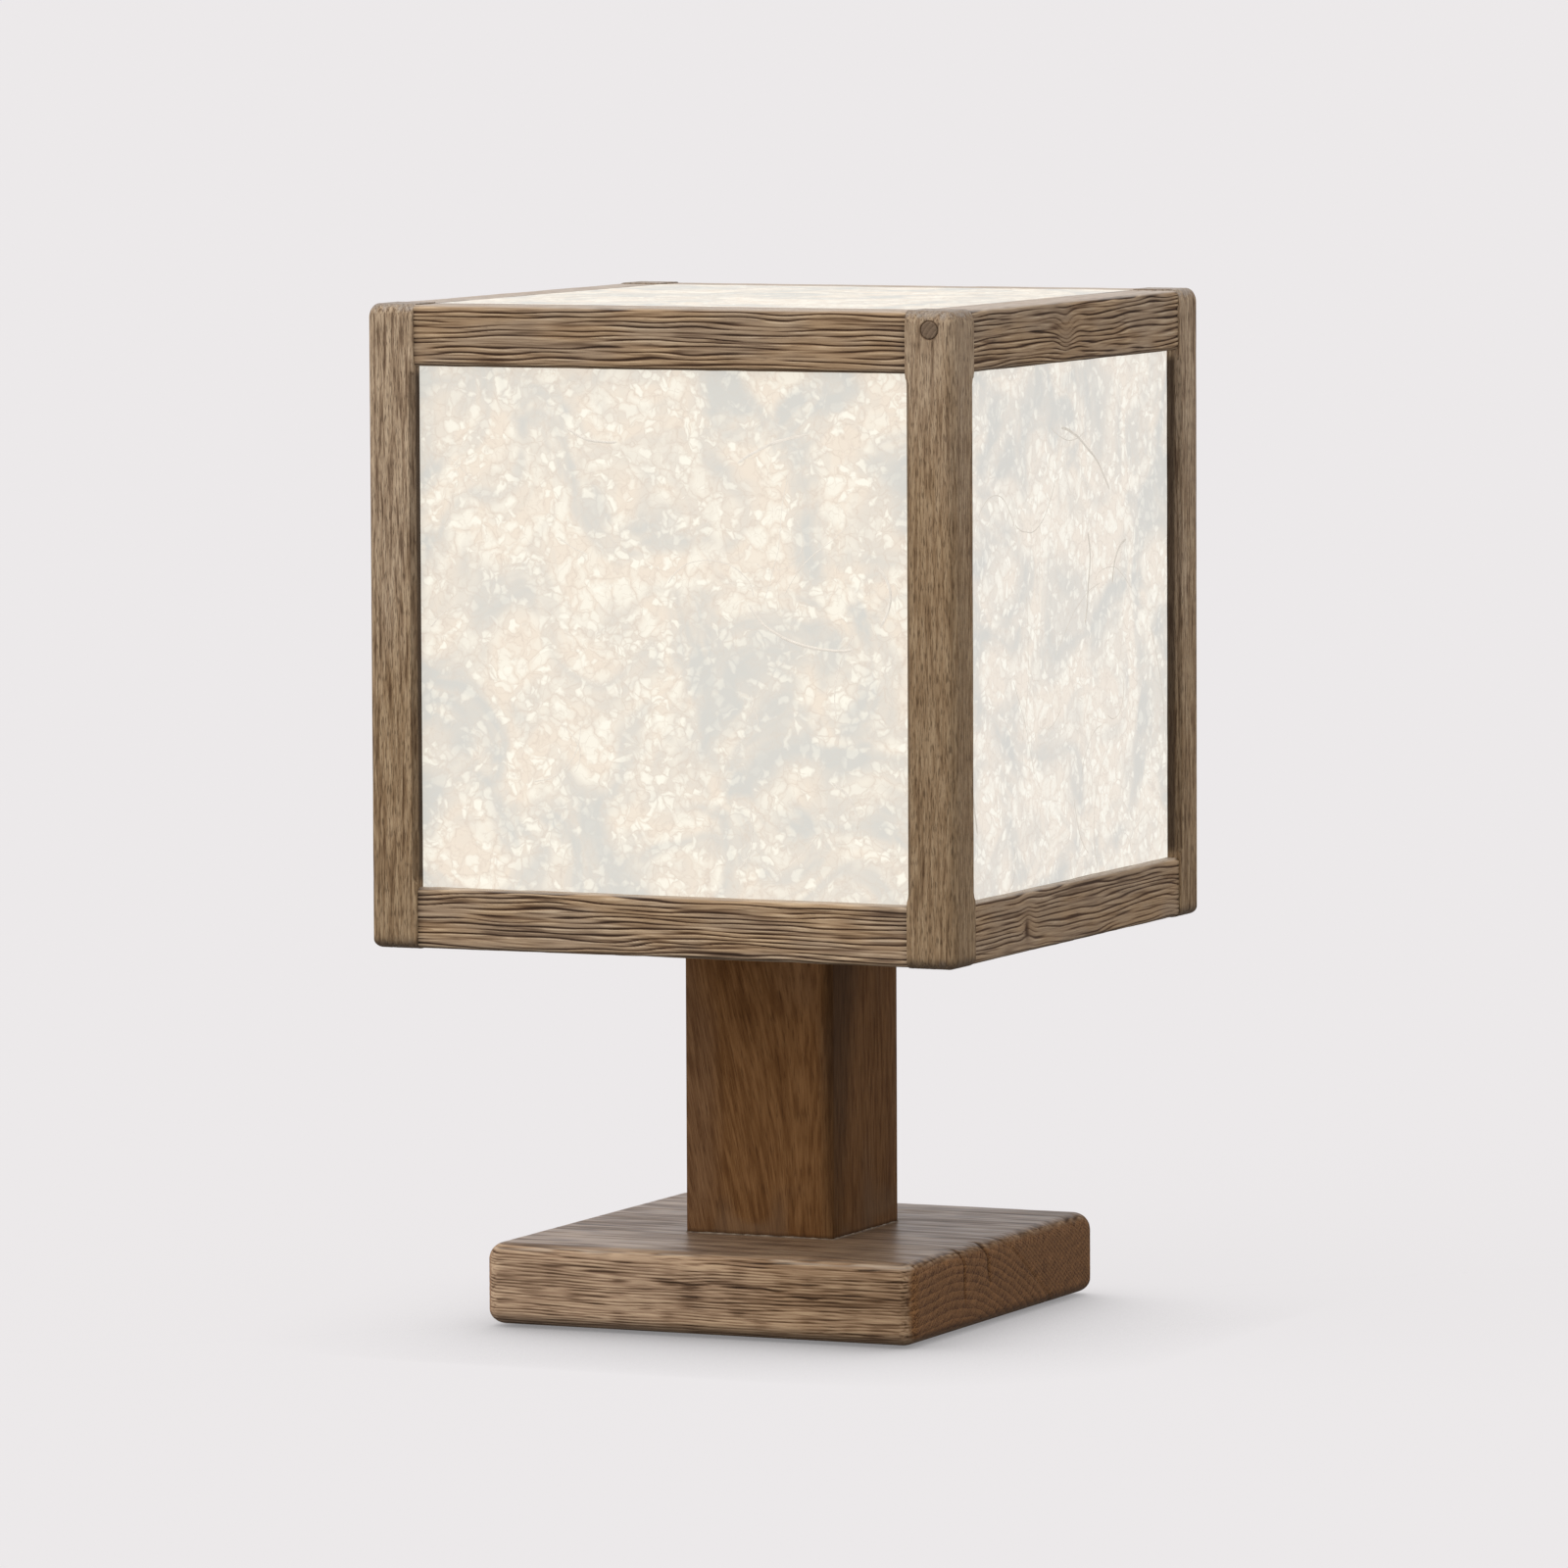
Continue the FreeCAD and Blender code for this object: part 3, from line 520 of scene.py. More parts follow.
def patches(places, seed, run, size):
    """Slow changes of colour along a board, from 0 to 1."""
    broad = grained(seed + 5, places, run, size)
    small = grained(seed + 6, 3 * places, run, size)
    return np.clip(0.65 * broad + 0.35 * small, 0, 1)


def upright(points, low, width):
    """Points of a board whose grain runs up, placed in the lamp; low is its lowest corner there."""
    along, depth, side = points.T
    return low + (width, 0, 0) + np.stack([-side, depth, along], 1)


def knotted(height, places, knots):
    """Height of the wood with its knots smoothed over and their cores sunk."""
    along, _, up = places.T
    for place, level, width, tall, _, core in knots:
        smooth = 0.6 * hump(along, place, width) * hump(up, level, tall)
        height = height * (1 - smooth) + 0.62 * smooth
        dark = hump(along, place - 1, 0.32 * width) * hump(up, level - 2, 0.45 * tall)
        height = height * (1 - core * dark)
    return height


def make_rail(node, quarters, seed, contrast, knots):
    """A rail between two posts, brushed into deep wavy grooves, built as the front one."""
    low, size = node_box(node.replace(SIDES[quarters], "front"))
    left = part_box("post_front_left")[1].x / MM
    size[0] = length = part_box("post_front_right")[0].x / MM - left
    depth_lines = np.concatenate([even_lines(6, 0.45)[:-1], 6 + even_lines(size[1] - 6, 1.0)])
    lines = [even_lines(length, RAIL_STEP), depth_lines, even_lines(size[2], 0.32)]
    places, faces, flat = box_grid(lines)
    radius = RAIL_EDGE
    core_high = (np.inf, np.inf, size[2] - radius)
    places = eased_box(places, (-np.inf, radius, radius), core_high, (1, radius, radius))
    out = outward(places, size, (0, radius, radius))
    far, height = brushed(places, seed, RAIL_LOOK, knots)
    height = np.clip(RAIL_MIDDLE + contrast * (height - RAIL_MIDDLE), 0, 1)
    height = knotted(height, places, knots)
    height = height + 0.4 * step_up(out[:, 2], 0.6, 0.95) * (0.7 - height)
    inner = step_up(places[:, 1], size[1] - 3, size[1] - 0.5)
    relief = RAIL_LOOK["bite"] * (1 - height) * (1 - 0.85 * inner)
    # Painted shade: the grooves darken where the rail meets a post, and the rounded underside darkens as if
    # turned from the light.
    painted_joint_shade = 1 - step_up(np.minimum(places[:, 0], length - places[:, 0]), 0.3, 3.2)
    painted_underside_shade = 0.58 * step_up(-out[:, 2], 0.1, 0.75)
    patchy = grained(seed + 9, places, 9, 1.2)
    carved = places - out * relief[:, None]
    values = {
        "height": height,
        "tone": patches(places, seed, 42, 9),
        "far": far,
        "gloss": step_up(out[:, 2], 0.50, 0.95),
        "shade": np.maximum(painted_underside_shade, 0.55 * painted_joint_shade * (1.15 - height)),
        # The pale upper rounded edge: partly worn wood, partly a painted highlight.
        "wear_and_highlight": step_up(out[:, 2], 0.55, 0.9) * (0.15 + 0.55 * patchy),
        "board": places + seed * BOARD_SHIFT,
    }
    points = quarter_turned(carved + (left, low[1], low[2]), quarters)
    return add_piece("brushed_" + node, points, faces, flat, values)


def post_lines(length, pin):
    """Grid lines along a post, closer together at its ends and round the pin."""
    along = edged_lines(length, 9, 0.8, RAIL_STEP)
    if not pin:
        return along
    around = pin[0] - 6 + even_lines(12, 0.4)
    return np.unique(np.concatenate([along[np.abs(along - pin[0]) > 6.5], around[around < length]]))


def bevel_post(places, width, foot):
    """Cuts the stopped bevels at the openings; says where the openings and the bevels are."""
    low_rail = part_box("bottom_rail_front")[1].z / MM - foot
    high_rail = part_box("top_rail_front")[0].z / MM - foot
    opening = step_up(places[:, 0], low_rail, low_rail + BEVEL_RUN)
    opening = opening * (1 - step_up(places[:, 0], high_rail - BEVEL_RUN, high_rail))
    bevel = 0.2 + (BEVEL - 0.2) * opening
    bevelled = np.zeros(len(places))
    for first, second in ((1, 2), (2, 1)):
        over = np.maximum(bevel - (places[:, first] + width - places[:, second]), 0)
        places[:, first] += over / 2
        places[:, second] -= over / 2
        bevelled = np.maximum(bevelled, step_up(over, 0.0, 0.6) * opening)
    return opening, bevelled


def ease_post(places, length):
    """Rounds a post's outer edges and its ends, more at the top than at the foot."""
    edges = (POST_END, POST_EDGE, POST_EDGE)
    radii = np.tile(edges, (len(places), 1))
    radii[places[:, 0] > length / 2, 0] = POST_CROWN
    return eased_box(places, edges, (length - POST_CROWN, np.inf, np.inf), radii)


def pin_socket(places, pin):
    """The seam round the pin and the socket that it sits in, each from 0 to 1."""
    ring = np.hypot(places[:, 0] - pin[0], places[:, 2] - pin[1])
    front = places[:, 1] < 2
    seam = hump(ring, pin[2] + 0.25, 0.4) * front
    return seam, step_up(pin[2] + 0.3 - ring, 0, 0.4) * front


def make_post(node, quarters, seed, pin):
    """A corner post with eased outer edges and ends and stopped bevels at its openings."""
    low, size = node_box("post_front_right")
    width, length = size[0], size[2]
    across = even_lines(width, POST_STEP)
    places, faces, flat = box_grid([post_lines(length, pin), across, across])
    opening, bevelled = bevel_post(places, width, low[2])
    places = ease_post(places, length)
    dim, contrast = POST_TONES.get(node, PLAIN_POST_TONE)
    far, height = brushed(places, seed, POST_LOOK)
    height = np.clip(POST_MIDDLE + contrast * (height - POST_MIDDLE), 0, 1)
    out = outward(places, (length, 2 * width, 2 * width), (POST_CROWN, POST_EDGE, POST_EDGE))
    ragged = 0.3 * swing(seed + 9, *(places / (6, 1.3, 1.3)).T)
    end = step_up(np.abs(out[:, 0]) + ragged, 0.55, 1.10)
    inner = np.minimum(places[:, 1], places[:, 2])
    inside = step_up(inner, 0.3, 2.0) * (1 - end)
    relief = POST_LOOK["bite"] * (1 - height) * (1 - 0.8 * inside)
    if pin:
        seam, socket = pin_socket(places, pin)
        relief = relief + PIN_SEAM * seam + PIN_DEPTH * socket
        height = height * (1 - 0.85 * seam)
    carved = places - out * relief[:, None]
    # Painted shade: the inner faces and bevels at the openings darken as recesses in shade, and the foot
    # darkens underneath.
    painted_corner_shade = step_up(inner, 0.4, 4.0) * (1 - 0.75 * step_up(inner, 8, 12)) * opening
    painted_foot_shade = 0.66 * step_up(-out[:, 0], 0.1, 0.85)
    values = {
        "height": height,
        # Lighter towards the top and darker at the foot: painted light from above, over random patches.
        "tone": 0.3 * patches(places, seed, 55, 11) + 0.7 * places[:, 0] / length - dim,
        "end": end,
        "far": far,
        "gloss": end * (out[:, 0] > 0),
        "shade": np.maximum(np.maximum(0.88 * painted_corner_shade, 0.42 * bevelled), painted_foot_shade),
        "board": places + seed * BOARD_SHIFT,
    }
    points = quarter_turned(upright(carved, low, width), quarters)
    return add_piece("brushed_" + node, points, faces, flat, values)


def make_stem(seed):
    """The smooth dark stem, with fine grain that slants across its front."""
    low, size = node_box("stem")
    width, length = size[0], size[2]
    across = even_lines(width, 0.75)
    places, faces, flat = box_grid([even_lines(length, 2.2), across, across])
    core_high = (np.inf, width - STEM_EDGE, width - STEM_EDGE)
    places = eased_box(places, (-np.inf, STEM_EDGE, STEM_EDGE), core_high, (1, STEM_EDGE, STEM_EDGE))
    along, depth, side = places.T
    grain = places.copy()
    grain[:, 2] -= STEM_SLANT * along * step_up(side, 0, 60)
    far, height = brushed(grain, seed, STEM_LOOK)
    out = outward(places, (length, width, width), (0, STEM_EDGE, STEM_EDGE))
    carved = places - out * (STEM_LOOK["bite"] * (1 - height))[:, None]
    rise = along / length
    # Painted shade: the whole right face darkens, most in a wedge by the front edge that widens and darkens
    # towards the top under the lantern.
    painted_side_shade = 1 - step_up(depth, 4 + 10 * rise, 16 + 26 * rise)
    painted_side_shade = (0.30 + 0.70 * painted_side_shade) * (1 - step_up(side, 1, 9)) * (0.45 + 0.35 * rise)
    scuffed = step_up(grained(seed + 12, places, 12, 14), 0.45, 0.75)
    values = {
        "height": height,
        "tone": patches(places, seed, 90, 40),
        "far": far,
        # Painted shade also darkens a thin line at the foot, where the stem meets the base.
        "shade": np.maximum(painted_side_shade, 0.85 * (1 - step_up(along, 0.4, 2.4))),
        "wear_and_highlight": 0.35 * scuffed * (1 - step_up(along, 6, 30)),
        "board": grain + seed * BOARD_SHIFT,
    }
    return add_piece("smooth_stem", upright(carved, low, width), faces, flat, values)


def front_cracks(places, size, seed):
    """How deep the splits on the base's front are, from 0 to 1."""
    along, across, up = places.T
    rng = np.random.default_rng(seed)
    small = [(rng.uniform(8, size[0] - 8), rng.uniform(5, 36), rng.uniform(3, 8)) for _ in range(CRACKS)]
    depth = np.zeros(len(places))
    for number, (middle, level, run) in enumerate(FRONT_SPLITS + tuple(small)):
        wave = 0.9 * swing(seed + 7, along / 9, number, 0)
        fade = step_up(run - np.abs(along - middle), 0, run * 0.7)
        deep = 1.0 if number < len(FRONT_SPLITS) else 0.5
        depth = np.maximum(depth, deep * hump(up, level + wave, 0.22 + 0.012 * run) * fade)
    return depth * (across < BASE_EDGE)


def end_seam(across, up):
    """Distance in front of or behind the slanting seam across the base's right end."""
    run = np.subtract(SEAM_FOOT, SEAM_TOP)
    over = (across - SEAM_TOP[0]) * -run[1] + (up - SEAM_TOP[1]) * run[0]
    return over / np.hypot(*run)


def end_cracks(places, size, seed):
    """The splits across the base's right end, from 0 to 1."""
    along, across, up = places.T
    depth = np.zeros(len(places))
    for number, (place, lowest, wide) in enumerate(END_SPLITS):
        wave = 0.9 * swing(seed + 8, up / 7, number, 0)
        fade = step_up(up / size[2], lowest, lowest + 0.25)
        depth = np.maximum(depth, hump(across, place + wave, wide) * fade)
    depth = np.maximum(depth, 0.6 * hump(end_seam(across, up), 0, 0.8))
    return depth * step_up(along, size[0] - 14, size[0] - 5)


def base_lines(size):
    """Grid lines of the base, closer together at its edges and at the splits in its end."""
    across = edged_lines(size[1], 12, 0.75, 1.9)
    for place, _, _ in END_SPLITS:
        beside = place - 2.4 + even_lines(4.8, 0.48)
        across = np.concatenate([across[np.abs(across - place) > 3], beside])
    return [edged_lines(size[0], 12, 0.9, 2.2), np.sort(across), even_lines(size[2], 0.34)]


def frayed_edge(places, out, seed):
    """How torn the edges of the base's right end are, from 0 to 1."""
    torn = step_up(noise(seed + 9, *(places / (7, 2.2, 7)).T), 0.42, 0.72)
    frayed = step_up(noise(seed + 11, *(places / (6, 6, 1.5)).T), 0.42, 0.72)
    frayed = frayed * hump(out[:, 1], -0.7, 0.35)
    return hump(out[:, 0], 0.7, 0.3) * np.maximum(torn * np.clip(out[:, 2], 0, 1), frayed)


def make_base(seed):
    """The base slab: brushed front, worn top darkened with painted shade, and ends that show the tree's
    rings.
    """
    low, size = node_box("base")
    places, faces, flat = box_grid(base_lines(size))
    radii = np.full((len(places), 3), BASE_EDGE)
    radii[places[:, 2] < size[2] / 2, 2] = BASE_FOOT
    places = eased_box(places, radii, size - radii, radii)
    along, across, up = places.T
    far, height = brushed(places, seed, BASE_LOOK)
    out = outward(places, size, BASE_EDGE)
    end = step_up(np.abs(out[:, 0]), 0.55, 0.85)
    side, top = np.abs(out[:, 1]), np.clip(out[:, 2], 0, 1)
    corner = frayed_edge(places, out, seed)
    split = np.maximum(front_cracks(places, size, seed), end_cracks(places, size, seed))
    pitted = grained(seed + 10, places, 0.8, 0.8)
    relief = (1 - height) * BASE_LOOK["bite"] * (side + 0.45 * top) * (1 - end)
    relief = relief + end * 0.10 * pitted + FRAY * corner + SPLIT * split
    relief = relief * step_up(up, 0.0, 1.5)
    mottled = patches(places, seed + 30, 36, 7) - 0.5
    height = np.clip(height + 0.5 * mottled, 0, 1) * (1 - end) + 0.9 * end
    level = step_up(out[:, 2], 0.80, 0.97)
    height = height + 0.4 * level * (0.66 - height)
    height = height * (1 - 0.9 * split) * (1 - 0.6 * corner)
    carved = places - out * relief[:, None]
    patchy = step_up(noise(seed + 12, along / 14, up / 1.3, across / 1.3), 0.36, 0.70)
    streaks = 0.5 * grained(seed + 13, places, 34, 3) + 0.5 * grained(seed + 14, places, 16, 0.9)
    streaks = step_up(streaks, 0.25, 0.75)
    # Painted shade on the rounded underside edge.
    painted_underside_shade = 0.5 * step_up(-out[:, 2], 0.1, 0.8)
    beyond = (end > 0.5) & (along > size[0] / 2) & (end_seam(across, up) > 0)
    values = {
        "height": height,
        # Darker towards the right end, away from the light: painted shade, over random patches.
        "tone": 0.3 * patches(places, seed, 60, 14) + 0.7 * along / size[0],
        "end": end,
        "far": np.where(beyond, 2 * end_seam(across, up), far),
        "gloss": level * (0.40 + 0.60 * streaks),
        # Painted shade: the top darkens, less along its glossy streaks, and so does the underside edge.
        "shade": np.maximum(level * (0.50 - 0.35 * streaks), painted_underside_shade),
        "wear_and_highlight": 0.5 * hump(out[:, 2], 0.78, 0.12) * (out[:, 1] < 0) * (1 - end) * patchy,
        "board": places + seed * BOARD_SHIFT,
    }
    return add_piece("brushed_base", carved + low, faces, flat, values)


def wood_material(name, look):
    """Wood that reads its board's grain: dark grooves, pale ridges, pores, worn edges with painted
    highlights, and painted shade.
    """
    shader = new_shader(name)
    board = shader.value_of("board", "Vector")
    height, tone, end, far = map(shader.value_of, ("height", "tone", "end", "far"))
    fibres = shader.noise(shader.stretch(board, look["fibres"]), 1.0, 4.0, 0.6)
    pores = shader.noise(shader.stretch(board, look["pores"]), 1.0)
    pore = shader.span(pores, *look["pore_range"])
    spread = (fibres, look["streak"], -0.5 * look["streak"])
    streak = shader.add("Math", spread, operation="MULTIPLY_ADD")
    level = shader.math("ADD", height, streak, clamp=True)
    colour = shader.ramp(level, look["stops"])
    cut_end = shader.ramp(end_pattern(shader, board, far, look), look["end_stops"])
    cut_end = shader.mix(1.0, cut_end, shader.span(height, 0.0, 0.5, 0.35, 1.0), "MULTIPLY")
    colour = shader.mix(end, colour, cut_end)
    colour = shader.mix(shader.times(pore, look["pore_depth"]), colour, look["pore_colour"])
    grey = shader.span(tone, 0.35, 0.65, *look["saturation"])
    lift = shader.span(tone, 0.20, 0.80, *look["value"])
    colour = shader.add("HueSaturation", {"Color": colour, "Saturation": grey, "Value": lift})
    # Worn wood and painted highlights, in one pale colour.
    colour = shader.mix(shader.value_of("wear_and_highlight"), colour, look["worn"])
    # Painted shade: darker undersides, recesses, joints and shaded sides.
    colour = shader.mix(shader.value_of("shade"), colour, look["shaded"])
    ripple = shader.math("SUBTRACT", fibres, shader.times(pore, 0.6))
    return shader.surface({
        "Base Color": colour,
        "Roughness": shader.span(level, 0.0, 1.0, *look["rough"]),
        "Specular IOR Level": look["specular"],
        "Coat Weight": shader.value_of("gloss"),
        "Coat Roughness": look["coat_rough"],
        "Normal": shader.bump(ripple, 0.6, look["ripple"]),
    })


def end_pattern(shader, board, far, look):
    """Rings, rays and specks of end grain, from 0 to 1."""
    ring = shader.math("FRACT", shader.math("DIVIDE", far, look["end_ring"]))
    speckle = shader.noise(board, 1.4, 4.0, 0.65)
    inputs = {"Vector": board, "Rotation": (look["ray_turn"], 0, 0), "Scale": (2.0, 9.0, 0.7)}
    turned = shader.add("Mapping", inputs, vector_type="TEXTURE")
    rays = shader.math("SUBTRACT", shader.noise(turned, 1.0, 3.0), 0.5)
    ring = shader.times(ring, look["end_share"])
    grain = shader.math("ADD", ring, shader.times(speckle, 1.1 - look["end_share"]))
    return shader.math("ADD", grain, shader.times(rays, look["ray_share"]))


def plain_wood(name, dark, pale, axis_scale):
    """Unbrushed wood for the CAD's own inner pieces, streaked along the piece."""
    shader = new_shader(name)
    place = shader.millimetres()
    streaks = shader.noise(shader.stretch(place, axis_scale), 1.0, 5.0, 0.6, 0.4)
    pores = shader.noise(shader.stretch(place, tuple(3 * part for part in axis_scale)), 1.0)
    colour = shader.ramp(streaks, [(0.3, dark), (0.7, pale)])
    colour = shader.mix(shader.span(pores, 0.62, 0.75, 0.0, 0.6), colour, paint(70, 48, 32))
    return shader.surface({
        "Base Color": colour,
        "Roughness": shader.span(streaks, 0.3, 0.7, 0.75, 0.55),
        "Normal": shader.bump(streaks, 0.4, 0.25),
    })


def flakes(shader, place, scale):
    """Uneven cells: a random value for each, and how far a place is from its cell's edge."""
    inputs = {"Vector": place, "Scale": scale, "Randomness": 1.0}
    cells = shader.add("TexVoronoi", inputs, out="Color", feature="F1")
    lot = shader.add("SeparateColor", {"Color": cells})
    return lot, shader.add("TexVoronoi", inputs, feature="DISTANCE_TO_EDGE")


def paper_flakes(shader, place, thin):
    """Pale flakes of two sizes, and the net of strands along their edges, each from 0 to 1."""
    large_lot, large_edge = flakes(shader, place, 0.10)
    small_lot, small_edge = flakes(shader, shader.shift(place, (31.0, 17.0, 53.0)), 0.21)
    large = shader.times(shader.span(large_lot, 0.40, 0.70), shader.span(large_edge, 0.0, 0.22))
    small = shader.times(shader.span(small_lot, 0.48, 0.85), shader.span(small_edge, 0.0, 0.22))
    large = shader.times(large, shader.span(thin, 0.35, 0.85, 0.0, 0.75))
    small = shader.times(small, shader.span(thin, 0.0, 0.7, 0.38, 1.0))
    strand = shader.math("MAXIMUM", shader.span(large_edge, 0.0, 0.06, 1.0, 0.0),
                         shader.span(small_edge, 0.0, 0.08, 0.7, 0.0))
    return shader.math("MAXIMUM", large, small), strand


def paper_material(name):
    """Lit paper: pale flakes in a net of fine fibres, with greyer clouds where it is thick."""
    shader = new_shader(name)
    bent = sheet = shader.value_of("board", "Vector")
    for scale, reach in ((0.05, 16.0), (0.18, 5.0), (0.5, 1.4)):
        warp = shader.add("TexNoise", {"Vector": sheet, "Scale": scale, "Detail": 2.0}, out="Color")
        warp = shader.stretch(shader.shift(warp, (-0.5,) * 3), (reach,) * 3)
        bent = shader.shift(bent, warp)
    clouds = shader.noise(sheet, 0.021, 3.0, 0.55, 1.2)
    mottle = shader.noise(bent, 0.30, 3.0, 0.6)
    thin = shader.span(clouds, 0.63, 0.39)
    flake, strand = paper_flakes(shader, bent, thin)
    strand = shader.times(strand, shader.span(mottle, 0.66, 0.42))
    strand = shader.times(strand, shader.span(thin, 0.0, 0.6, 0.25, 1.0))
    colour = shader.mix(thin, PAPER_THICK, PAPER_THIN)
    colour = shader.mix(flake, colour, PAPER_FLAKE)
    colour = shader.mix(shader.times(strand, 0.62), colour, PAPER_STRAND)
    colour = shader.add("HueSaturation", {"Color": colour, "Saturation": shader.value_of("tone")})
    return shader.surface({
        "Base Color": shader.mix(1.0, colour, PAPER_BODY, "MULTIPLY"),
        "Roughness": shader.span(mottle, 0.3, 0.7, 0.8, 0.95),
        "Specular IOR Level": 0.2,
        "Emission Color": colour,
        "Emission Strength": PAPER_GLOW,
        "Normal": shader.bump(flake, 0.25, 0.15),
    })


def metal_material(name, colour, rough, dulled):
    """Worked metal, dulled in patches and finely scratched."""
    shader = new_shader(name)
    place = shader.millimetres()
    stain = shader.noise(place, 0.35, 4.0, 0.6)
    scratch = shader.noise(shader.stretch(place, (0.4, 0.4, 6.0)), 1.0, 3.0)
    return shader.surface({
        "Base Color": shader.mix(shader.span(stain, 0.40, 0.70), colour, dulled),
        "Metallic": 1.0,
        "Roughness": shader.span(stain, 0.3, 0.7, rough, rough + 0.2),
        "Normal": shader.bump(scratch, 0.15, 0.05),
    })


def moulded_material(name, colour, shade, rough, glow=0.0):
    """Moulded plastic or ceramic with a faint mottle and a fine skin."""
    shader = new_shader(name)
    place = shader.millimetres()
    mottle = shader.noise(place, 0.25, 3.0, 0.55)
    skin = shader.noise(place, 4.0)
    colour = shader.mix(shader.span(mottle, 0.35, 0.70), colour, shade)
    return shader.surface({
        "Base Color": colour,
        "Roughness": shader.span(skin, 0.3, 0.7, rough, rough + 0.15),
        "Emission Color": colour,
        "Emission Strength": glow,
        "Normal": shader.bump(skin, 0.2, 0.05),
    })


def felt_material(name):
    """Pressed felt: matted fibres in two shades of grey brown."""
    shader = new_shader(name)
    place = shader.millimetres()
    matted = shader.noise(place, 0.9, 6.0, 0.7, 1.5)
    worn = shader.noise(place, 0.05, 3.0)
    colour = shader.ramp(matted, [(0.3, paint(44, 38, 33)), (0.7, paint(88, 78, 68))])
    colour = shader.mix(shader.span(worn, 0.45, 0.70, 0.0, 0.5), colour, paint(104, 95, 86))
    return shader.surface({
        "Base Color": colour,
        "Roughness": shader.span(matted, 0.2, 0.8, 1.0, 0.85),
        "Sheen Weight": 0.4,
        "Normal": shader.bump(matted, 0.7, 0.3),
    })


def make_paper(node, quarters, seed, body, material):
    """One stiff sheet of paper with slightly uneven faces."""
    low, size = node_box(node.replace(SIDES[quarters], "front"))
    thin = int(np.argmin(size))
    lines = [even_lines(length, 3.0) for length in size]
    lines[thin] = np.array((0.0, size[thin]))
    places, faces, flat = box_grid(lines)
    inside = places.copy()
    waves = PAPER_WAVE * noise(seed, *(places / 14).T)
    inside[:, thin] -= np.sign(places[:, thin] - size[thin] / 2) * waves
    # Each side's painted light tint, as its saturation.
    tone = np.full(len(places), PAPER_TONES.get(node, 1.0))
    values = {"tone": tone, "board": places + seed * SHEET_SHIFT}
    points = quarter_turned(inside + low, quarters)
    piece = add_piece("washi_" + node, points, faces, flat, values)
    dress(piece, material, "washi_paper", body, node)


def tube(line, radius, sides):
    """A closed round tube along a line of points, drawn to a point at both ends."""
    radius = np.broadcast_to(radius, len(line))
    ahead = np.gradient(line, axis=0)
    ahead /= np.linalg.norm(ahead, axis=1, keepdims=True)
    beside = np.cross(ahead, (0.31, 0.57, 0.76))
    beside /= np.linalg.norm(beside, axis=1, keepdims=True)
    over = np.cross(ahead, beside)
    angles = 2 * math.pi * np.arange(sides) / sides
    rings = beside[:, None] * np.cos(angles)[:, None] + over[:, None] * np.sin(angles)[:, None]
    skin = (line[:, None] + radius[:, None, None] * rings).reshape(-1, 3)
    tips = np.stack([line[0] - ahead[0] * radius[0] * 3, line[-1] + ahead[-1] * radius[-1] * 3])
    rows = np.arange(len(skin)).reshape(-1, sides)
    after = np.roll(rows, -1, axis=1)
    faces = np.stack([rows[:-1], after[:-1], after[1:], rows[1:]], -1).reshape(-1, 4).tolist()
    ends = np.stack([rows[0], after[0], rows[-1], after[-1]], 1).tolist()
    for first, next_first, last, next_last in ends:
        faces += [(len(skin), next_first, first), (len(skin) + 1, last, next_last)]
    return np.concatenate([skin, tips]), faces


def fibre_line(rng, room):
    """A slowly curling line of points that keeps inside a flat room of that size."""
    length, heading, curl = rng.uniform(16, 70), rng.uniform(0, 2 * math.pi), rng.normal(0, 0.035)
    count = int(length / FIBRE_STEP)
    jitter = np.cumsum(rng.normal(0, 0.05, count))
    angles = heading + curl * FIBRE_STEP * np.arange(count) + jitter
    walk = FIBRE_STEP * np.cumsum(np.stack([np.cos(angles), np.sin(angles)], 1), 0)
    spread = np.ptp(walk, axis=0)
    corner = FIBRE_MARGIN + rng.random(2) * np.maximum(room - spread - 2 * FIBRE_MARGIN, 0)
    return walk - walk.min(0) + corner


def make_fibres(node, quarters, seed, body, material):
    """Long curled fibres pressed into both faces of a sheet."""
    low, size = node_box(node.replace(SIDES[quarters], "front"))
    thin = int(np.argmin(size))
    rng = np.random.default_rng(seed)
    places, faces, count = [], [], 0
    for number in range(FIBRES):
        level = FIBRE_SINK if number % 2 else size[thin] - FIBRE_SINK
        line = np.insert(fibre_line(rng, np.delete(size, thin)), thin, level, axis=1)
        skin, sides = tube(line, COARSE_FIBRE if number % 9 < 2 else rng.uniform(*FINE_FIBRE), 5)
        skin[:, thin] = level + FIBRE_FLAT * (skin[:, thin] - level)
        faces.extend(tuple(count + corner for corner in side) for side in sides)
        places.append(skin)
        count += len(skin)
    points = quarter_turned(np.concatenate(places) + low, quarters)
    settle(add_piece("fibres_" + node, points, faces), material, body)


def make_felt(seed, material):
    """The felt sheet glued under the base, matted on its faces."""
    low, size = node_box("base_felt")
    lines = [even_lines(length, step) for length, step in zip(size, (1.6, 1.6, 0.5))]
    places, faces, flat = box_grid(lines)
    matted = noise(seed, *(places / 1.7).T)
    out = outward(places, size, 0.4)
    points = places - out * (FELT_NAP * matted)[:, None] + low
    felt = dress(add_piece("matted_base_felt", points, faces, flat), material, "felt", "lamp", "base_felt")


def make_glue(seed, material):
    """A thin uneven bead of old glue round the stem's foot."""
    low, size = node_box("stem")
    half = size[0] / 2
    corners = half * np.array(((-1, 1), (1, 1), (1, -1), (-1, -1), (-1, 1)))
    shares = np.linspace(0, 1, GLUE_POINTS)[:-1, None]
    flat_line = np.concatenate([first + (last - first) * shares for first, last in zip(corners, corners[1:])])
    line = np.insert(flat_line, 2, low[2] + GLUE_RISE, axis=1)
    thick = noise(seed, np.arange(len(line)) / 2.5, 0, 0)
    skin, faces = tube(line, 0.12 + 0.45 * thick, 6)
    settle(add_piece("glue_line", skin, faces), material, "lamp")


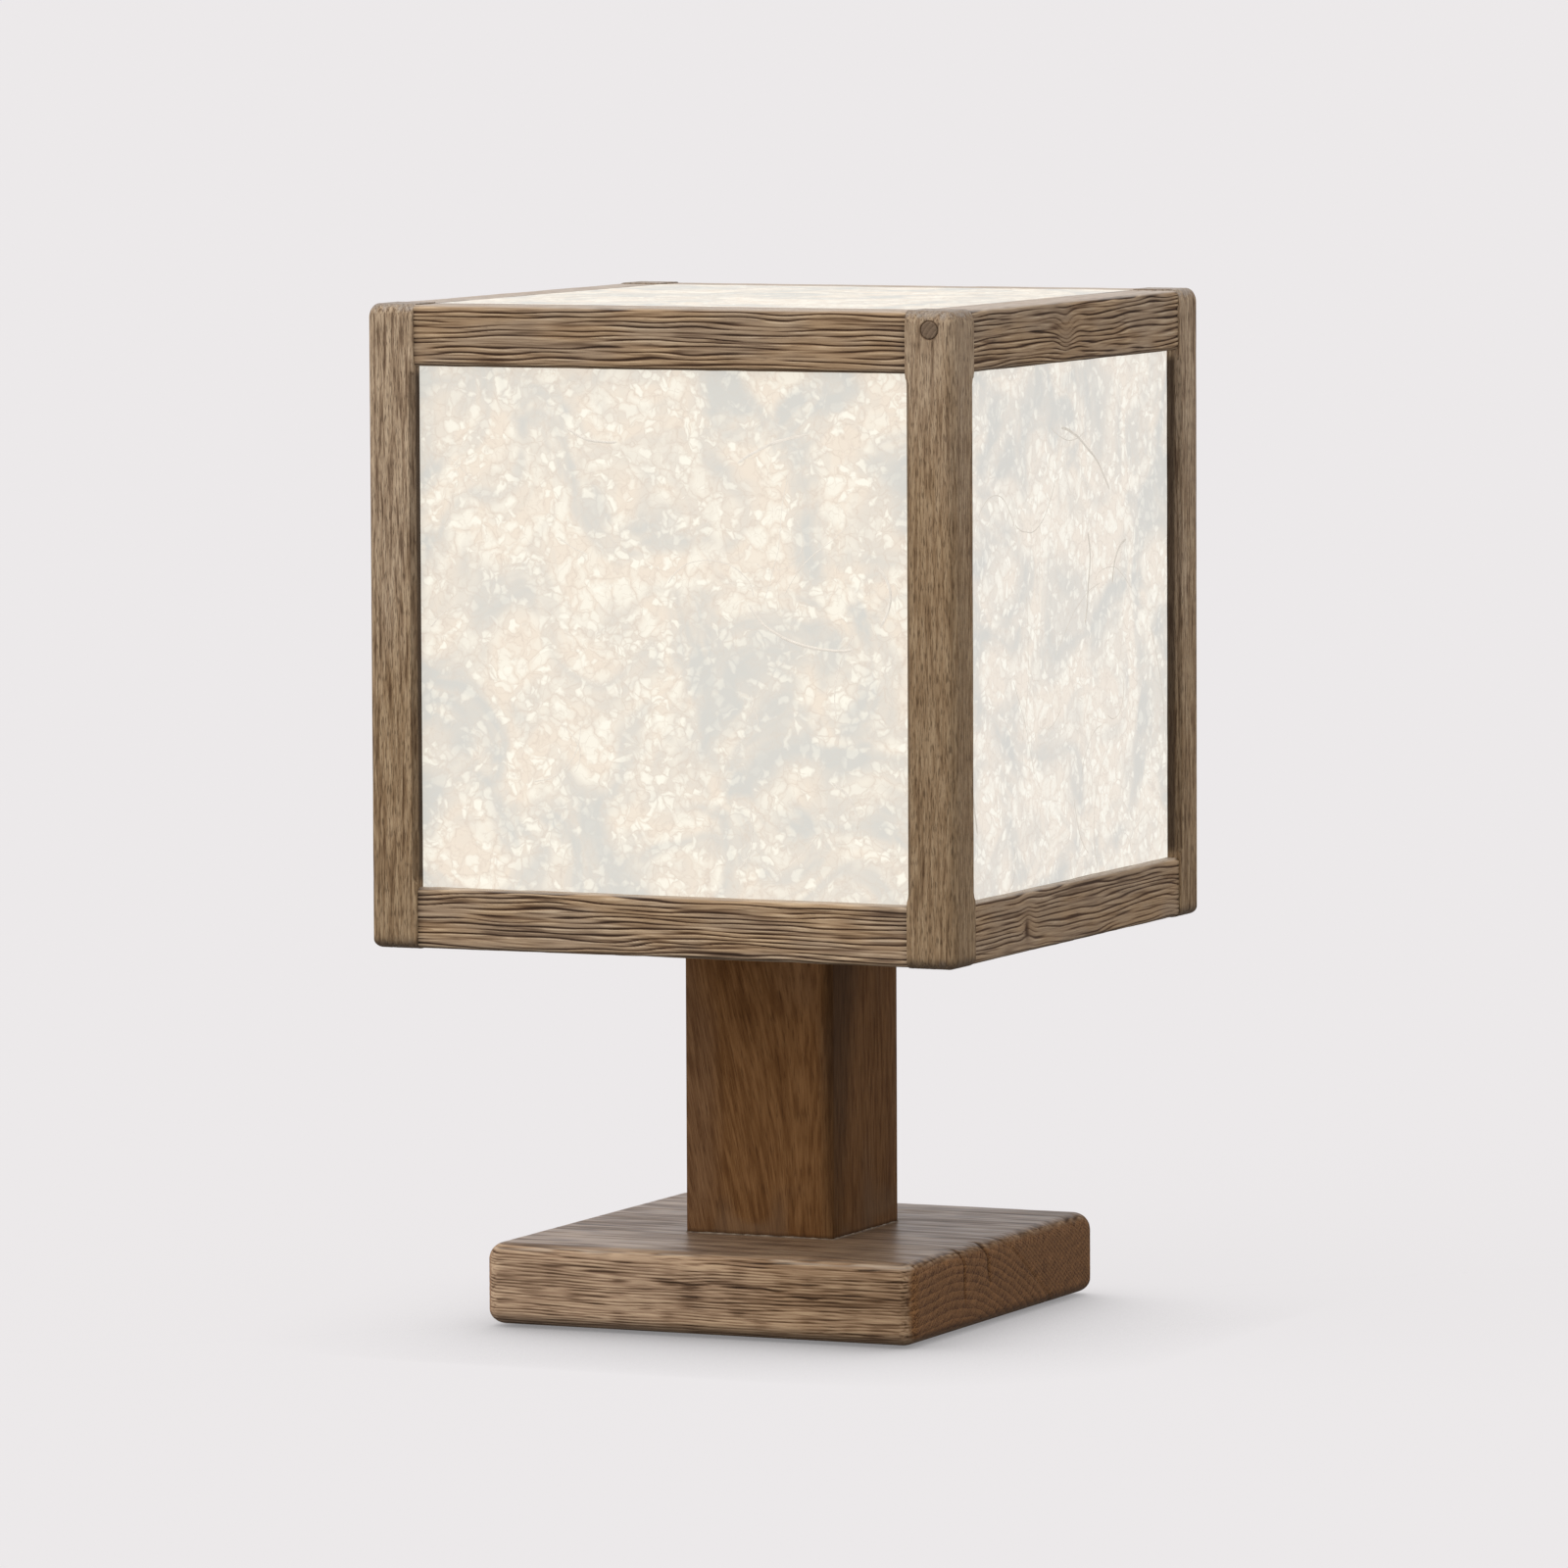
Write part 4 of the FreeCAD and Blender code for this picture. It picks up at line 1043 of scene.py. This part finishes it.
def make_pin(seed, material):
    """The round wooden pin whose end shows on the front of the right-hand post."""
    low, size = node_box("through_dowel")
    radius, length = size[0] / 2, size[1]
    end_rings = np.linspace(0.04, 1, PIN_RINGS) * (radius - PIN_EASE)
    rings = np.concatenate([end_rings, [radius - 0.15, radius, radius]])
    depth = np.concatenate([np.zeros(PIN_RINGS), [0.12, PIN_EASE, length]])
    angles = 2 * math.pi * np.arange(PIN_SIDES) / PIN_SIDES
    across, up = np.outer(rings, np.cos(angles)), np.outer(rings, np.sin(angles))
    back = np.repeat(depth[:, None], PIN_SIDES, 1)
    places = np.stack([across, back, up], -1).reshape(-1, 3)
    rows = np.arange(across.size).reshape(across.shape)
    after = np.roll(rows, -1, axis=1)
    faces = np.stack([rows[:-1], rows[1:], after[1:], after[:-1]], -1).reshape(-1, 4).tolist()
    faces += [rows[0].tolist(), rows[-1, ::-1].tolist()]
    far = np.hypot(places[:, 0] - 9, places[:, 2] + 7)
    pitted = noise(seed, *(places / 0.7).T)
    end = step_up(-places[:, 1], -0.6, 0)
    carved = places.copy()
    carved[:, 1] += end * (0.10 * pitted + PIN_SINK)
    values = {"height": 0.35 + 0.5 * pitted, "tone": np.full(len(places), 0.4), "end": end, "far": far}
    values["board"] = places[:, [1, 0, 2]]
    points = carved + (low + (radius, 0, radius))
    piece = add_piece("turned_through_dowel", points, faces, None, values)
    dress(piece, material, "dowel_oak", "lamp", "through_dowel")


def make_lantern():
    """The posts and rails of the lantern and its paper."""
    rail_oak = wood_material("rail_oak", OAK_PAINT)
    post_oak = wood_material("post_oak", POST_PAINT)
    paper = paper_material("washi")
    strands = moulded_material("washi_fibre", paint(212, 205, 195), paint(200, 193, 183), 0.8, 0.40)
    pin_low, pin_size = node_box("through_dowel")
    post_low, post_size = node_box("post_front_right")
    pin = (pin_low[2] + pin_size[2] / 2 - post_low[2],
           post_low[0] + post_size[0] - pin_low[0] - pin_size[0] / 2, pin_size[0] / 2)
    for quarters, (side, corner) in enumerate(zip(SIDES, CORNERS)):
        for number, kind in enumerate(("top_rail_", "bottom_rail_")):
            seed = 100 + 40 * quarters + 20 * number
            contrast = RAIL_CONTRAST.get(kind + side, RAIL_CONTRAST[kind])
            rail = make_rail(kind + side, quarters, seed, contrast, KNOTS.get(kind + side, ()))
            dress(rail, rail_oak, "frame_oak", "lamp", kind + side)
        held = None if quarters else pin
        post = make_post("post_" + corner, quarters, 300 + 20 * quarters, held)
        dress(post, post_oak, "frame_oak", "lamp", "post_" + corner)
        make_paper("paper_" + side, quarters, 11 + quarters, "lamp", paper)
        make_fibres("paper_" + side, quarters, 21 + quarters, "lamp", strands)
    make_paper("paper_top", 0, 15, "top_panel", paper)
    make_fibres("paper_top", 0, 25, "top_panel", strands)


def make_foot():
    """The stem with its glue line, the base with its felt, and the pin in the right-hand post."""
    stem_oak = wood_material("stem_oak", STEM_PAINT)
    base_oak = wood_material("base_oak", BASE_PAINT)
    pin_oak = wood_material("pin_oak", PIN_PAINT)
    dress(make_stem(500), stem_oak, "stem_oak", "lamp", "stem")
    dress(make_base(520), base_oak, "base_oak", "lamp", "base")
    make_glue(530, moulded_material("old_glue", paint(150, 134, 114), paint(70, 54, 42), 0.6))
    make_felt(540, felt_material("base_felt"))
    make_pin(560, pin_oak)


def inner_woods():
    """The unbrushed woods, by slot and by the axis that the grain runs along."""
    woods = {}
    for slot, (dark, pale) in INNER_WOODS.items():
        for axis, letter in enumerate("xyz"):
            scale = [INNER_ACROSS] * 3
            scale[axis] = INNER_ALONG
            woods[slot, axis] = plain_wood(slot + "_along_" + letter, dark, pale, tuple(scale))
    return woods


def dress_inner_pieces():
    """Materials for the CAD's own pieces, by the slot that each was packed with."""
    woods = inner_woods()
    looks = {slot: metal_material(*row) for slot, row in METALS.items()}
    looks.update((slot, moulded_material(*row)) for slot, row in MOULDED.items())
    for name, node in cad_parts.items():
        slot = node.data.materials[0].name
        longest = int(np.argmax(node_box(name)[1]))
        look = woods.get((slot, longest), looks.get(slot))
        if look and not node.hide_render:
            node.data.materials[0] = look


make_camera()
make_world()
make_key_light()
make_floor()
make_lantern()
make_foot()
dress_inner_pieces()
bpy.context.scene.view_settings.view_transform = "Standard"
